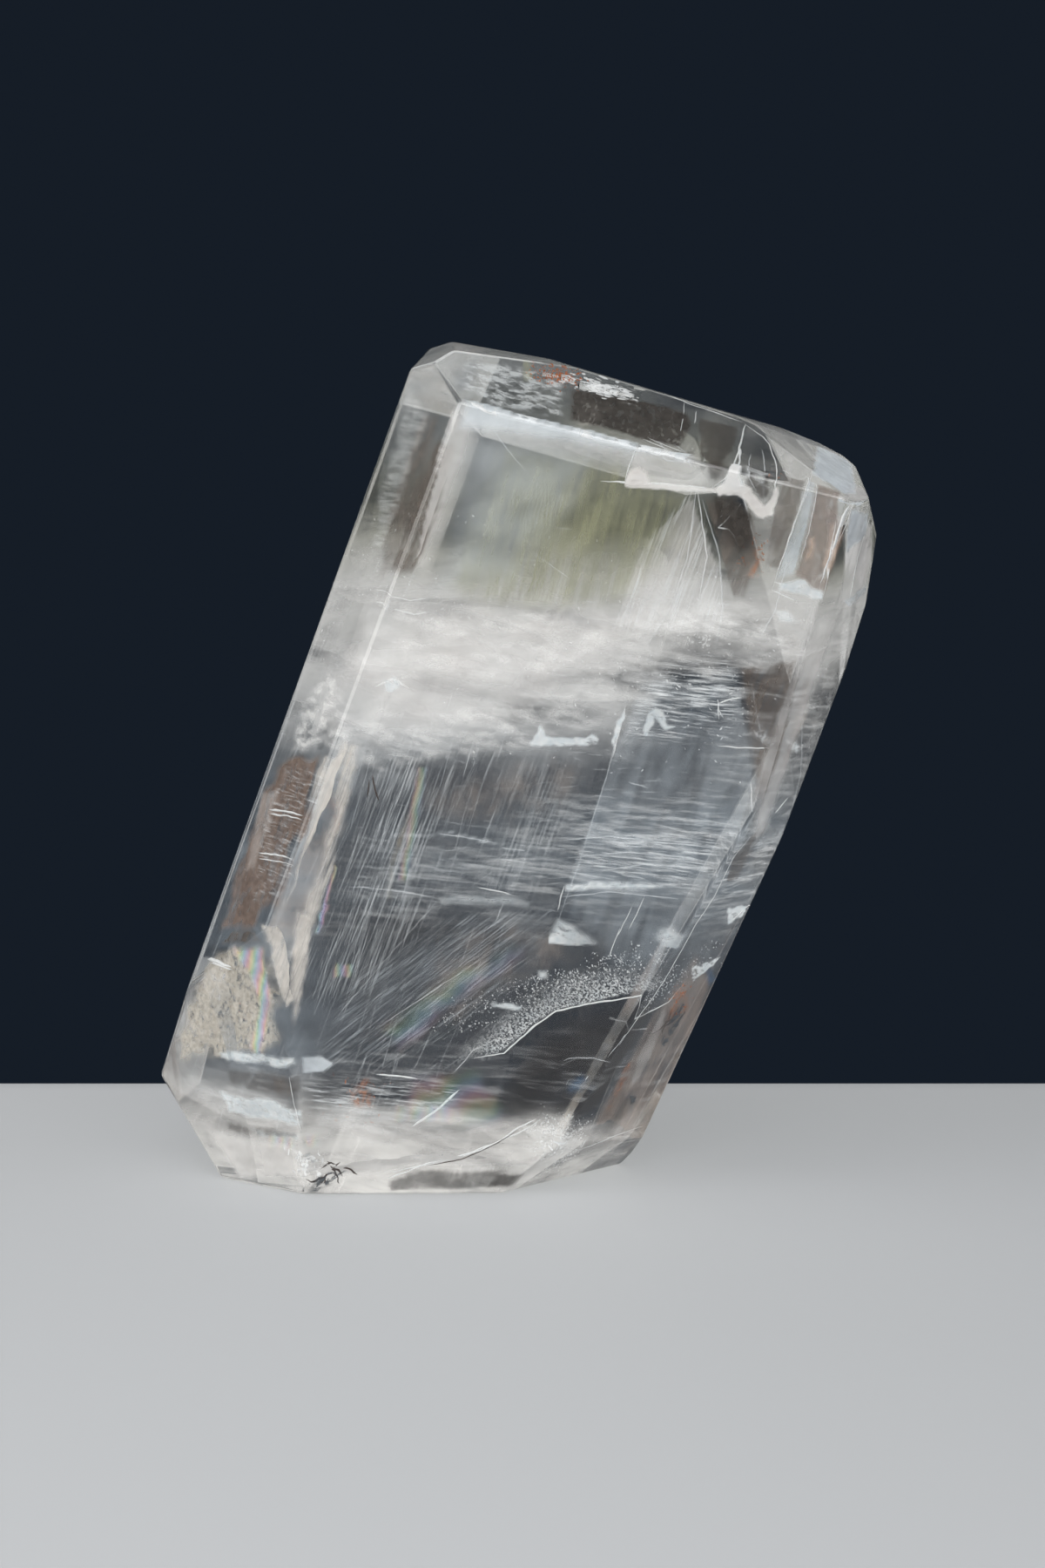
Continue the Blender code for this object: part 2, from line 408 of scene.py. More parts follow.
# films: grain is the pattern's size in mm along X, Y and Z, tilt turns it in degrees, blotch is the size
# of its colour patches in mm; the pattern is open below clearBelow and closed above fullAbove
filmDefaults = {"tilt": 20, "detail": 5, "swirl": 0.3, "roughness": 0.8, "gloss": 0}
filmSpecs = {
    # clouds of tiny fluid bubbles: soft and milky, coloured with painted light and shade by height
    "milkyCloud": {"heights": tintLightAndShadeByHeight, "opacity": 0.56, "grain": (22, 14, 7), "tilt": 8, "detail": 3,
        "swirl": 0.5, "clearBelow": 0.28, "fullAbove": 0.66, "roughness": 1},
    # the same haze, drawn out into fibres along the lean
    "steepFibres": {"heights": tintLightAndShadeByHeight, "opacity": 0.5, "grain": (2, 6, 30), "detail": 4.5, "swirl": 0.4,
        "clearBelow": 0.4, "fullAbove": 0.72, "roughness": 1},
    # level wisps, a millimetre or so high and some 10 long
    "levelWisps": {"heights": wispWhite, "opacity": 0.6, "grain": (9, 6, 1.1),
        "tilt": 6, "swirl": 0.35, "clearBelow": 0.46, "fullAbove": 0.78, "roughness": 0.7, "gloss": 0.1},
    # cracks that have grown together again: silvery, broken into patches
    "healedCrack": {"pale": "#fbfcfd", "deep": "#c9d6df", "opacity": 0.88, "grain": (1.6, 1.6, 1.1),
        "tilt": 8, "clearBelow": 0.32, "fullAbove": 0.56, "blotch": 1.6, "roughness": 0.35, "gloss": 0.5},
    # smooth, pale and without a grain: milky haze, and painted light where light gathers on facets and bevels
    "palePlumeAndGlow": {"pale": "#f3f5f6", "deep": "#e6dfdc", "opacity": 0.8, "grain": (7, 7, 14), "detail": 3,
        "clearBelow": 0, "fullAbove": 0.5, "blotch": 9},
    # a wide crack that is barely open: a breath of blue-grey
    "blueBreath": {"pale": "#dfe8f0", "deep": "#b4c3d1", "opacity": 0.6, "grain": (3, 6, 18), "detail": 4.5,
        "swirl": 0.5, "clearBelow": 0.1, "fullAbove": 0.75, "blotch": 8},
    # a smooth, bright sliver of an open crack
    "brightFilm": {"pale": "#ffffff", "deep": "#b7c8d3", "opacity": 0.88, "grain": (2.5, 2.5, 1.2), "tilt": 8,
        "detail": 4, "swirl": 0.2, "clearBelow": 0.2, "fullAbove": 0.5, "blotch": 1.3, "roughness": 0.45,
        "gloss": 0.4},
    # grains a third of a millimetre across, as in a crack that has only half closed
    "granularVeil": {"pale": "#ffffff", "deep": "#ccd5dc", "opacity": 0.8, "grain": (0.36, 0.36, 0.3),
        "tilt": 30, "detail": 2, "swirl": 0, "clearBelow": 0.36, "fullAbove": 0.66, "blotch": 2,
        "roughness": 0.6, "gloss": 0.1},
    # level streaks under half a millimetre high
    "frostStreaks": {"pale": "#ffffff", "deep": "#dbe4ec", "opacity": 0.8, "grain": (5, 3, 0.36), "tilt": 6,
        "detail": 6, "clearBelow": 0.47, "fullAbove": 0.73, "blotch": 3, "roughness": 0.6, "gloss": 0.1},
    # the torn, cottony rim of the cloud
    "cottonLace": {"pale": "#ffffff", "deep": "#e0e0e0", "opacity": 0.7, "grain": (4.5, 3.5, 1.9), "tilt": 10,
        "clearBelow": 0.36, "fullAbove": 0.72, "blotch": 3},
    # fine fibres along the lean
    "steepFrost": {"pale": "#f4f6f8", "deep": "#cfd7de", "opacity": 0.42, "grain": (0.4, 2, 14), "detail": 3,
        "swirl": 0.1, "clearBelow": 0.45, "fullAbove": 0.7, "blotch": 4, "roughness": 0.7},
    # the same, along a second set of cracks that slant further
    "slantFrost": {"pale": "#eef3f7", "deep": "#b9c6d2", "opacity": 0.34, "grain": (0.24, 2, 8), "tilt": 52,
        "detail": 3, "swirl": 0.1, "clearBelow": 0.46, "fullAbove": 0.72, "blotch": 4, "roughness": 0.7},
    # painted light: cool light gathered along a ground edge, as a pale film
    "paintedCoolGlow": {"pale": "#f0f5f9", "deep": "#cfdae5", "opacity": 0.8, "grain": (9, 7, 14), "detail": 2.5,
        "swirl": 0.2, "clearBelow": 0, "fullAbove": 0.5, "blotch": 10},
    # a warm grey breath
    "warmSmoke": {"pale": "#a89d95", "deep": "#6f655f", "opacity": 0.42, "grain": (4, 4, 6),
        "clearBelow": 0.35, "fullAbove": 0.68, "blotch": 4, "roughness": 0.9},
    # a pale curtain of fibres with beige between them
    "paleCurtain": {"pale": "#efe9e3", "deep": "#b9b4ae", "opacity": 0.85, "grain": (0.9, 3, 14),
        "swirl": 0.4, "clearBelow": 0.2, "fullAbove": 0.6, "blotch": 2},
    # brown-grey smoke in streaks
    "smokeStreaks": {"pale": "#7d736c", "deep": "#2f2a27", "opacity": 0.85, "grain": (1, 2, 9),
        "clearBelow": 0.2, "fullAbove": 0.6, "blotch": 1.6, "roughness": 0.7, "gloss": 0.1},
    # painted shade: the same streaks, darker, where the light leaves by the far side
    "paintedShadeStreaks": {"pale": "#55504c", "deep": "#15120f", "opacity": 0.92, "grain": (0.9, 2, 7), "swirl": 0.2,
        "clearBelow": 0.15, "fullAbove": 0.5, "blotch": 1.4, "roughness": 0.7, "gloss": 0.1},
    # painted shade: a thin grey-brown sheet, hardly more than a breath, that darkens what lies behind it
    "shade": {"pale": "#2c2928", "deep": "#161516", "opacity": 0.6, "grain": (5, 4, 7), "tilt": 30,
        "clearBelow": 0.1, "fullAbove": 0.7, "blotch": 3, "roughness": 0.9},
    # mossy, blue-black and torn
    "mossStreaks": {"pale": "#6a747d", "deep": "#161b22", "opacity": 0.95, "grain": (0.5, 0.8, 1.5),
        "tilt": 48, "detail": 4, "clearBelow": 0.42, "fullAbove": 0.54, "blotch": 0.8, "roughness": 0.7,
        "gloss": 0.1},
    # bruised white, in strokes up the slope
    "crushedWhite": {"pale": "#ffffff", "deep": "#d3dde5", "opacity": 0.95, "grain": (0.36, 1, 3.2),
        "tilt": 38, "detail": 4, "clearBelow": 0.28, "fullAbove": 0.5, "blotch": 1.2, "roughness": 0.5,
        "gloss": 0.3},
    # level mist in the foot of the stone
    "levelMist": {"pale": "#f6f6f5", "deep": "#c9ced2", "opacity": 0.75, "grain": (8, 6, 0.8), "tilt": 4,
        "swirl": 0.2, "clearBelow": 0.25, "fullAbove": 0.68, "blotch": 3},
    # a blue spot, as if of ink
    "blueInk": {"pale": "#4b7aa3", "deep": "#1a3753", "opacity": 0.75, "grain": (3, 3, 3), "tilt": 0,
        "detail": 3, "swirl": 0.2, "clearBelow": 0, "fullAbove": 0.6, "blotch": 3},
    # a faint ray from orange to green
    "rayGlow": {"pale": "#dfa877", "deep": "#8fb3a6", "opacity": 0.5, "grain": (0.7, 2, 12), "detail": 3,
        "swirl": 0.1, "clearBelow": 0.2, "fullAbove": 0.7, "blotch": 5},
    # torn white patches
    "frostPatches": {"pale": "#eef1f3", "deep": "#c3c9cd", "opacity": 0.65, "grain": (3.2, 2, 1.3),
        "tilt": 12, "detail": 6, "clearBelow": 0.42, "fullAbove": 0.62, "blotch": 2, "roughness": 0.7,
        "gloss": 0.1},
    # an olive-yellow tinge with faint fibres
    "oliveVeil": {"pale": "#a5a589", "deep": "#737560", "opacity": 0.62, "grain": (1, 3, 12), "tilt": 14,
        "detail": 4, "swirl": 0.2, "clearBelow": 0.1, "fullAbove": 0.7, "blotch": 5, "roughness": 0.9},
    # iron oxide, thinly smeared
    "ironHaze": {"pale": "#d98a4e", "deep": "#8e4a22", "opacity": 0.8, "grain": (1.2, 1.5, 2.5), "swirl": 0.8,
        "clearBelow": 0.38, "fullAbove": 0.62, "blotch": 1},
    # beige and mottled, as if smoked
    "beigeMottle": {"pale": "#f6f1e9", "deep": "#8f826d", "opacity": 0.82, "grain": (1.1, 1.1, 1.6),
        "detail": 6, "clearBelow": 0.25, "fullAbove": 0.55, "blotch": 0.8, "roughness": 0.7, "gloss": 0.1},
    # brown clay drawn into a crack
    "clayFilm": {"pale": "#947f73", "deep": "#38291f", "opacity": 0.84, "grain": (1.6, 2, 4), "detail": 6,
        "clearBelow": 0.2, "fullAbove": 0.52, "blotch": 1.2, "roughness": 0.6, "gloss": 0.2},
    # a warm, peach-coloured haze: fine iron oxide, and painted reflection of warm light on the lower right
    # bevel
    "peachHazeAndReflection": {"pale": "#e8d6c8", "deep": "#ae9180", "opacity": 0.55, "grain": (2, 3, 9), "detail": 4.5,
        "swirl": 0.6, "clearBelow": 0.2, "fullAbove": 0.65, "blotch": 4, "roughness": 0.9},
}
# oxides, broken calcite and manganese as loose grains, splinters and lines
grainSpecs = {
    "ironStain": {"pale": "#c8743a", "deep": "#7a3413", "blotch": 1.2, "opacity": 0.85, "roughness": 0.7},
    "manganeseDendrite": {"pale": "#4a3b35", "deep": "#1d1613", "blotch": 1, "opacity": 0.9,
        "roughness": 0.6},
    "whiteGrains": {"pale": "#ffffff", "deep": "#e4e9ee", "blotch": 1.5, "opacity": 0.7, "roughness": 0.4},
    "faintNeedles": {"pale": "#f6f8fa", "deep": "#d3dce4", "blotch": 4, "opacity": 0.26, "roughness": 0.5},
    # bright lines: broken calcite, and painted highlights along the facets' edges
    "brightEdge": {"pale": "#ffffff", "deep": "#edf2f6", "blotch": 3, "opacity": 0.85, "roughness": 0.3},
}
# films of air thinner than a hair: band is the width of one colour and swirlSize how far it bends, in mm
rainbowSpecs = {
    "thinFilmRainbow": {"band": 0.8, "swirlSize": 7, "tilt": 8, "opacity": 0.45},
    "rainbowDust": {"band": 2.4, "swirlSize": 7, "tilt": 52, "opacity": 0.13},
}
finishes = {name: filmMaterial(name, {**filmDefaults, **spec}) for name, spec in filmSpecs.items()}
finishes.update({name: grainMaterial(name, spec) for name, spec in grainSpecs.items()})
finishes.update({name: rainbowMaterial(name, spec) for name, spec in rainbowSpecs.items()})
print("finishes mixed:", len(finishes))

# haze: pockets in mm (centre, reach along, deep and up), leaning with the stone; blur softens their rims,
# and a negative strength clears
cloudPockets = [
    {"at": (-16, 0, 94), "reach": (46, 60, 20)},
    {"at": (34, 0, 104), "reach": (36, 60, 11)},
    {"at": (8, 0, 128), "reach": (80, 60, 28), "strength": 0.3, "blur": 0.9},
    {"at": (-4, 0, 48), "reach": (90, 60, 46), "strength": 0.06, "blur": 0.8},
    {"at": (14, 0, 58), "reach": (44, 60, 11), "strength": 0.2, "blur": 0.9},
    {"at": (-20, -8, 4), "reach": (46, 20, 9)},
    {"at": (-48, -6, 22), "reach": (16, 20, 22), "strength": 0.7, "blur": 0.8},
    {"at": (-42, -6, 52), "reach": (9, 30, 34), "strength": 0.55, "blur": 0.8},
    {"at": (56, 0, 112), "reach": (12, 40, 22), "strength": 0.6, "blur": 0.8},
    {"at": (36, -6, 62), "reach": (9, 18, 30), "strength": 0.3, "blur": 0.8},
    {"at": (30, -6, 137), "reach": (22, 40, 8), "strength": -0.8, "blur": 0.6},
    {"at": (39, 0, 117), "reach": (7, 40, 8), "strength": -0.8, "blur": 0.7},
    {"at": (-8, 0, 118), "reach": (6, 40, 9), "strength": -0.6, "blur": 0.8},
    {"at": (13, 0, 25), "reach": (22, 40, 12), "strength": -1.0, "blur": 0.6},
    {"at": (-18, 0, 40), "reach": (24, 40, 18), "strength": -0.6, "blur": 0.8},
    {"at": (47, 0, 118), "reach": (11, 40, 11), "strength": -0.75, "blur": 0.7},
    {"at": (34, 0, 82), "reach": (14, 40, 10), "strength": -0.6, "blur": 0.8},
]


stoneLean = 0.364  # how far it leans to the right, for each mm up
billows = (13, 4.5)  # mm, the cloud's wide and narrow ones


def hazeAt(place, pockets):
    wide, narrow = (noise.noise(place / (size * mm)) for size in billows)
    swing = wide * 0.34 + narrow * 0.16
    clear = 1.0
    for pocket in pockets:
        offset = place / mm - Vector(pocket["at"])
        along, deep, high = pocket["reach"]
        leaning = offset.x - stoneLean * offset.z
        far = (abs(leaning / along) ** 3 + abs(offset.y / deep) ** 3 + abs(offset.z / high) ** 3) ** (1 / 3)
        share = pocket.get("strength", 1.0) * ease((1.12 - far - swing) / pocket.get("blur", 0.45))
        clear = clear * (1 - share) if share > 0 else 1 - (1 - clear) * (1 + share)
    return 1 - clear


stoneMiddle = (1.3, 0.5, 72)  # mm
veilWave = {"size": 24, "height": 4}  # mm
veilSpecs = {
    # sheets that span two directions, stacked along the third; sizes in mm
    "veilsToFront": {
        "along": (0.985, 0.10, -0.139), "rise": (0.342, 0.10, 0.935), "step": (-0.06, 0.995, -0.06),
        "offsets": (-13, -4, 6, 17), "length": 140, "height": 170, "cell": 2.6, "finish": "milkyCloud",
        "pockets": cloudPockets, "gain": 1.0},
    "veilsUpLean": {
        "along": (-0.12, 0.99, 0.0), "rise": (0.342, 0.0, 0.94), "step": (0.990, 0.05, -0.139),
        "offsets": (-46, -28, -8, 14, 38), "length": 50, "height": 170, "cell": 2.6, "finish": "steepFibres",
        "pockets": cloudPockets, "gain": 0.8},
    "veilsLevel": {
        "along": (0.990, 0.05, -0.10), "rise": (0.1, 0.98, 0.14), "step": (0.3, -0.10, 0.94),
        "offsets": (-62, 12, 22, 33), "length": 140, "height": 50, "cell": 2.6, "finish": "milkyCloud",
        "pockets": cloudPockets, "gain": 0.8},
    "wispSheets": {
        "along": (0.985, 0.12, -0.10), "rise": (0.30, 0.35, 0.88), "step": (0.05, 0.99, -0.1),
        "offsets": (-4, 9), "length": 130, "height": 150, "cell": 2.6, "finish": "levelWisps",
        "pockets": [{"at": (26, 0, 61), "reach": (34, 60, 9), "blur": 0.8},
                    {"at": (24, 0, 90), "reach": (30, 60, 7), "strength": 0.8, "blur": 0.8},
                    {"at": (-4, 0, 53), "reach": (50, 60, 10), "strength": 0.35, "blur": 0.9},
                    {"at": (-20, 0, 14), "reach": (50, 60, 14), "strength": 0.5, "blur": 0.9},
                    {"at": (50, 0, 80), "reach": (20, 60, 30), "strength": 0.5, "blur": 0.9}],
        "gain": 1.0},
}


def makeVeils(name, spec):
    along, rise, step = (Vector(spec[key]).normalized() for key in ("along", "rise", "step"))
    middle = at(*stoneMiddle)
    sheet = bmesh.new()
    fade = sheet.verts.layers.float.new("fade")
    columns, rows = int(spec["length"] / spec["cell"]), int(spec["height"] / spec["cell"])
    for turn, offset in enumerate(spec["offsets"]):
        grid = []
        for j in range(rows + 1):
            line = []
            for i in range(columns + 1):
                flat = along * ((i - columns / 2) * spec["cell"]) + rise * ((j - rows / 2) * spec["cell"])
                place = middle + flat * mm + step * (offset * mm)
                wave = noise.noise(place / (veilWave["size"] * mm) + Vector((turn * 3.7, 0, 0)))
                vert = sheet.verts.new(place + step * (wave * veilWave["height"] * mm))
                vert[fade] = min(1.0, spec["gain"] * hazeAt(vert.co, spec["pockets"]))
                line.append(vert)
            grid.append(line)
        for low, high in zip(grid, grid[1:]):
            for corners in zip(low, low[1:], high[1:], high):
                if max(corner[fade] for corner in corners) > 0.05:
                    sheet.faces.new(corners)
    trimInside(sheet, margins["veil"] * mm)
    loose = [vert for vert in sheet.verts if not vert.link_faces]
    bmesh.ops.delete(sheet, geom=loose, context="VERTS")
    return finishInner(name, sheet, finishes[spec["finish"]])


for name, spec in veilSpecs.items():
    veils = makeVeils(name, spec)
    print(name, len(veils.data.polygons), "faces")

# the directions that the cracks face, most of them those of the stone's own facets
front = (0, -1, 0)
flatFront = (0.02, -0.995, -0.1)
viewer = (0.14, -0.97, -0.20)
shelf = (0.1, -0.3, -0.95)
topBevel = (0.21, -0.47, 0.86)
bottomBevel = (0.02, -0.87, -0.50)
leftBevel = (-0.77, -0.57, 0.29)
lowLeftBevel = (-0.61, -0.79, -0.11)
rightBevel = (0.80, -0.56, -0.23)
lowRightBevel = (0.68, -0.62, -0.39)
rightBevelHigh = (0.91, -0.37, -0.18)
brow = (0.45, -0.24, 0.86)

# cracks, each in one plane: its outline runs round it as pairs of mm from the centre, across and up that
# plane. It fades out over soft mm, but not along the crisp sides; ragged, in mm, tears its rim. One with a
# painted highlight at a corner dims over so many mm away from that corner.
crackDefaults = {"normal": front, "finish": "healedCrack", "strength": 1, "soft": 0.9, "crisp": (),
                 "ragged": 0}
crackSpecs = {
    "barRight": {"centre": (16.4, -4, 53), "normal": shelf, "strength": 0.5, "outline": (-9.1, 2.9, -4.4, 5,
        3.9, 2.2, 11.1, -2, 5.8, -3.3, -0.6, -1.5, -6.5, -3.4)},
    "feather": {"centre": (44, -8, 80.1), "normal": viewer, "outline": (-2.9, 1.8, -0.2, 2.1, 3.6, -1.7,
        1.1, -2, -1.6, -0.2)},
    # painted light: a glow on the right facet
    "facetGlow": {"centre": (57, -8, 113.5), "normal": (0.9, -0.4, 0.1), "finish": "palePlumeAndGlow", "soft": 1.5,
        "outline": (-6.2, 9, 3.8, 5, 6.5, -3.6, 3.4, -9, -6.6, -1.9)},
    # painted reflection: warm light along the lower right bevel
    "peachStrip": {"centre": (23.2, -9, 21.8), "normal": rightBevel, "finish": "peachHazeAndReflection", "strength": 0.6,
        "soft": 2, "outline": (2.7, 23.3, 11.2, 16.2, 10.4, -3.2, 3.7, -20.4, -14.8, -18.8, -12.2, -6.2,
        -6.2, 8.8)},
    "rayLong": {"centre": (-17.9, -10, 65.2), "normal": flatFront, "finish": "thinFilmRainbow", "soft": 0.6,
        "strength": 0.5, "outline": (0.8, 10.4, 2.9, 10.4, -0.8, -10.5, -2.8, -10.5)},
    "rayBlue": {"centre": (-33.9, -12, 48.6), "normal": flatFront, "finish": "thinFilmRainbow", "soft": 0.4,
        "strength": 0.8, "outline": (0.3, 3, 1.4, 2.7, -0.2, -3, -1.4, -2.7)},
    "rayYellow": {"centre": (-30.2, -10, 39), "normal": flatFront, "finish": "thinFilmRainbow", "soft": 0.5,
        "strength": 0.7, "outline": (-1.3, 1.5, 2.3, 1.2, 1.2, -1.4, -2.2, -1.4)},
    "whiteTriangle": {"centre": (32.6, -11, 39.3), "normal": flatFront, "soft": 0.4, "outline": (-3.9, 1.2,
        5.1, 1.7, 1.4, -0.7, -2.5, -2.2)},
    "rightBright": {"centre": (38.2, -10.5, 49.3), "normal": flatFront, "soft": 0.5, "outline": (-3.1, 1.8,
        2.5, 1.5, 2.4, -1.1, -1.8, -2.2)},
    "brownSpot": {"centre": (-41.4, -8, 24.5), "normal": viewer, "finish": "clayFilm", "outline": (-1.2, -1.4,
        1, -1.2, 1.3, 1.5, -0.9, 1.2)},
    "rainbowFoot": {"centre": (-38.1, -8, 7.9), "normal": viewer, "finish": "thinFilmRainbow",
        "strength": 0.8, "outline": (-3.8, -1.7, 3.4, -1.9, 3.6, 1.6, -3.4, 1.8)},
    "rainbowGlow": {"centre": (-15.5, -6, 12.5), "normal": viewer, "finish": "thinFilmRainbow",
        "strength": 0.4, "outline": (-6.5, -1.8, 6.5, -2, 6, 1.8, -6, 2)},
    "fan": {"centre": (27, -20.5, 108.3), "finish": "steepFrost", "strength": 0.8, "soft": 4,
        "crisp": (0, 3, 4, 5), "outline": (3.5, 16.4, 10.7, -2.5, 9.8, -9.7, -10.5, -9.7, -8.1, -1.4,
        -5.3, 6.9)},
    "fanHaze": {"centre": (27.2, -19.1, 107.9), "finish": "palePlumeAndGlow", "strength": 0.3, "soft": 5,
        "crisp": (0, 3, 4, 5), "outline": (3.3, 15.5, 10.1, -2.2, 9.7, -9.5, -10.1, -9.5, -8, -1.1, -5, 6.7)},
    "clearPanel": {"centre": (26.7, -18.5, 66.3), "finish": "blueBreath", "strength": 0.34, "soft": 5,
        "crisp": (1, 2, 3, 8, 9, 10), "outline": (-3.8, 26.8, 11.9, 28.3, 12.9, 21.5, 15.1, 6.9, 11, -6.1,
        6, -15, 0, -27.1, -9.9, -27.9, -19.1, -16.2, -14.6, -3.1, -9.9, 10.8)},
    "panelFrost": {"centre": (25, -20.5, 59.4), "finish": "frostStreaks", "soft": 5, "crisp": (5,),
        "outline": (-12.6, 6.3, 16.2, 10.2, 12.6, 1, 7.7, -7.9, -8.3, -6, -15.6, -3.7)},
    "panelFrostHigh": {"centre": (31.7, -20.1, 86), "finish": "frostStreaks", "strength": 0.9, "soft": 4,
        "crisp": (4,), "outline": (-9.4, 6.5, 7.2, 8.4, 8.5, -1.9, 7, -6.5, -13.3, -6.5)},
    "midFrost": {"centre": (-10.7, -19.5, 58.4), "finish": "frostStreaks", "strength": 0.25, "soft": 6,
        "outline": (-18.2, 9.5, 0, 7.2, 22, 6.4, 20.5, -8.2, -3.1, -9.8, -21.3, -5.2)},
    "lowFrost": {"centre": (-22.8, -20.1, 18.3), "finish": "frostStreaks", "strength": 0.8, "soft": 4,
        "outline": (-17.1, 3.9, 2.8, 4.7, 15, 2.4, 13.5, -5.5, -14.1, -5.5)},
    "rightSmoke": {"centre": (43.7, -20.5, 82.7), "finish": "smokeStreaks", "strength": 0.9,
        "outline": (-4.8, 11.4, 5.4, 12.7, 4.3, 6, 2.6, -2.9, 0.2, -10.1, -1.9, -13.9, -1.9, -8.5,
        -3.9, 5.2)},
    "cloudLace": {"centre": (4.9, -20.9, 86.4), "finish": "cottonLace", "strength": 0.6, "soft": 3,
        "ragged": 2.4, "outline": (-42, -5.3, -30.6, 2.3, -9.5, 2.3, 11.6, 8.1, 34.2, 12.2, 46.3, 12.2,
        44.1, 6.1, 18, 5.1, 12.3, -3.4, -3.4, -8, -15.5, -9.9, -29.2, -12.2, -36.7, -9.9)},
    "cloudFrost": {"centre": (7.5, -20.1, 98.8), "finish": "cottonLace", "strength": 0.6, "soft": 6,
        "ragged": 2, "outline": (-33.1, 6.6, -12, 8.1, 9, 6.6, 39.1, 9.3, 36.2, -0.2, 9.1, -6.3, -12.1, -10.9,
        -36.2, -13.2)},
    "steepFrostLeft": {"centre": (-23.1, -20.5, 57.6), "finish": "steepFrost", "strength": 0.6, "soft": 5,
        "outline": (-2.7, 21.9, 18.5, 23.5, 12.4, 0.4, 0.1, -22.8, -13.7, -24.4, -8.9, -7.3, -5.8, 8.1)},
    "steepFrostMid": {"centre": (3, -18.5, 65.5), "finish": "steepFrost", "strength": 0.45, "soft": 6,
        "outline": (-7.6, 13.8, 13.6, 15.4, 4.6, -13.9, -10.7, -15.5)},
    "hookBar": {"centre": (8.9, -21.1, 81.6), "finish": "brightFilm", "soft": 0.5, "outline": (-6.4, -0.8,
        -4.4, 2.5, -3.2, 0.5, 0.1, 0.1, 3.5, 0.1, 4.7, 0.8, 6, -0.2, 5.7, -1.4, -6.1, -1.6)},
    "arch": {"centre": (24.8, -21.1, 84.1), "finish": "brightFilm", "strength": 0.9, "soft": 0.5,
        "outline": (-2.6, -1.1, -1.9, 1.9, -0.4, 3, 1.3, 2.2, 2.1, 0, 4.2, -0.8, 1.2, -1.3, -0.2, 0.7,
        -1.3, -2.3, -2.3, -2.3)},
    "edgeChips": {"centre": (18.1, -21.1, 83.1), "finish": "brightFilm", "soft": 0.4, "outline": (-0.5, 1.4,
        1.1, 3.4, 1.4, 2, 0.2, -0.7, -1, -4.1, -1.3, -2)},
    # painted highlight: the fin is brightest at one corner and dims away from it
    "fin": {"centre": (10.2, -21.1, 46.8), "finish": "brightFilm", "soft": 1.6, "crisp": (3, 4, 5),
        "highlightCorner": (-4.3, -1.6), "highlightFalloff": 12, "outline": (-2.7, 3.5, 0.7, 2, 4.9, -1, 4.9, -1.7, 0.7, -2,
        -4.3, -1.6, -4.2, 0.8)},
    "rightPatch": {"centre": (26.8, -20.9, 46.6), "finish": "brightFilm", "strength": 0.6, "soft": 2.4,
        "crisp": (4,), "outline": (-3.1, -0.7, -2.2, 1.9, 0.8, 2.5, 3.6, 0.6, 2.4, -2.1, -1.6, -2.1)},
    "veilEdge": {"centre": (6.3, -20.9, 33.2), "finish": "granularVeil", "soft": 6,
        "crisp": (0, 1, 2, 3, 4, 5), "outline": (-13.2, -9.8, -7.6, -6.6, -3.3, -2.7, 0.5, -0.2, 6.6, 1.3,
        12.9, 2.9, 20.3, 4.6, 20, 8.2, 11, 8.8, 2.8, 7.8, -3, 4.7, -9.4, 0.4, -16.3, -6.2, -21.7, -13.2)},
    "beigeStrip": {"centre": (-34.3, -20.9, 56), "finish": "paleCurtain", "soft": 1.8, "ragged": 0.8,
        "outline": (3.7, 25.1, 7.9, 25.1, 4.8, 9, -0.8, -9.8, -3.9, -20.9, -6.1, -22.7, -5.4, -13.4,
        -2.2, -2.6, 1.8, 9.8)},
    "beigeStripLeft": {"centre": (-34.1, -23.5, 65.6), "normal": leftBevel, "finish": "paleCurtain",
        "strength": 0.9, "soft": 1.4, "ragged": 0.8, "outline": (-2.4, 12.3, 2.5, 16, 5.5, 0.9, 1.9, -13.5,
        -4.4, -15.4, -3.1, -0.3)},
    "brownPanel": {"centre": (-41.4, -15, 60.9), "normal": leftBevel, "finish": "clayFilm", "soft": 1.6,
        "ragged": 1.4, "outline": (-1.8, 16.5, 8.1, 17.7, 8.5, 6.2, 6.1, -1.1, 4.4, -10, 0.4, -15,
        -10.1, -16.8, -9.4, -7.8, -6.6, 10.2)},
    "bevelHaze": {"centre": (-32.9, -15.6, 84.8), "normal": leftBevel, "finish": "cottonLace", "soft": 3,
        "ragged": 1.6, "outline": (6.6, 5.1, 8.8, -5.5, -6.6, -9, -6.4, 0.5, -2.5, 8.8)},
    "bevelSmoke": {"centre": (-14.7, -19.5, 121.3), "normal": leftBevel, "finish": "smokeStreaks",
        "strength": 0.9, "soft": 2, "outline": (-0.8, 12.3, 3.7, 12.6, 4, 0.3, 1.8, -12.2, -5.8, -12.9,
        -3, -0.2)},
    "cornerMottle": {"centre": (-49.1, -13.7, 32.3), "normal": lowLeftBevel, "finish": "beigeMottle",
        "soft": 2.2, "ragged": 1.8, "outline": (-5.2, 9.8, 0.3, 11.3, 9.4, 12.8, 10.7, 2.6, 11.3, -2.9,
        6.3, -8.3, -6.7, -10.4, -15.8, -13.4, -11.1, -1.9)},
    "darkWedge": {"centre": (-49, -16.2, 45), "normal": lowLeftBevel, "finish": "smokeStreaks", "soft": 0.7,
        "outline": (-5.4, 0.8, 5.8, 2.5, 7.4, 0.3, -1.1, -1.5, -6.9, -2.1)},
    "rainbowBand": {"centre": (-45, -18.1, 35.1), "normal": lowLeftBevel, "finish": "thinFilmRainbow",
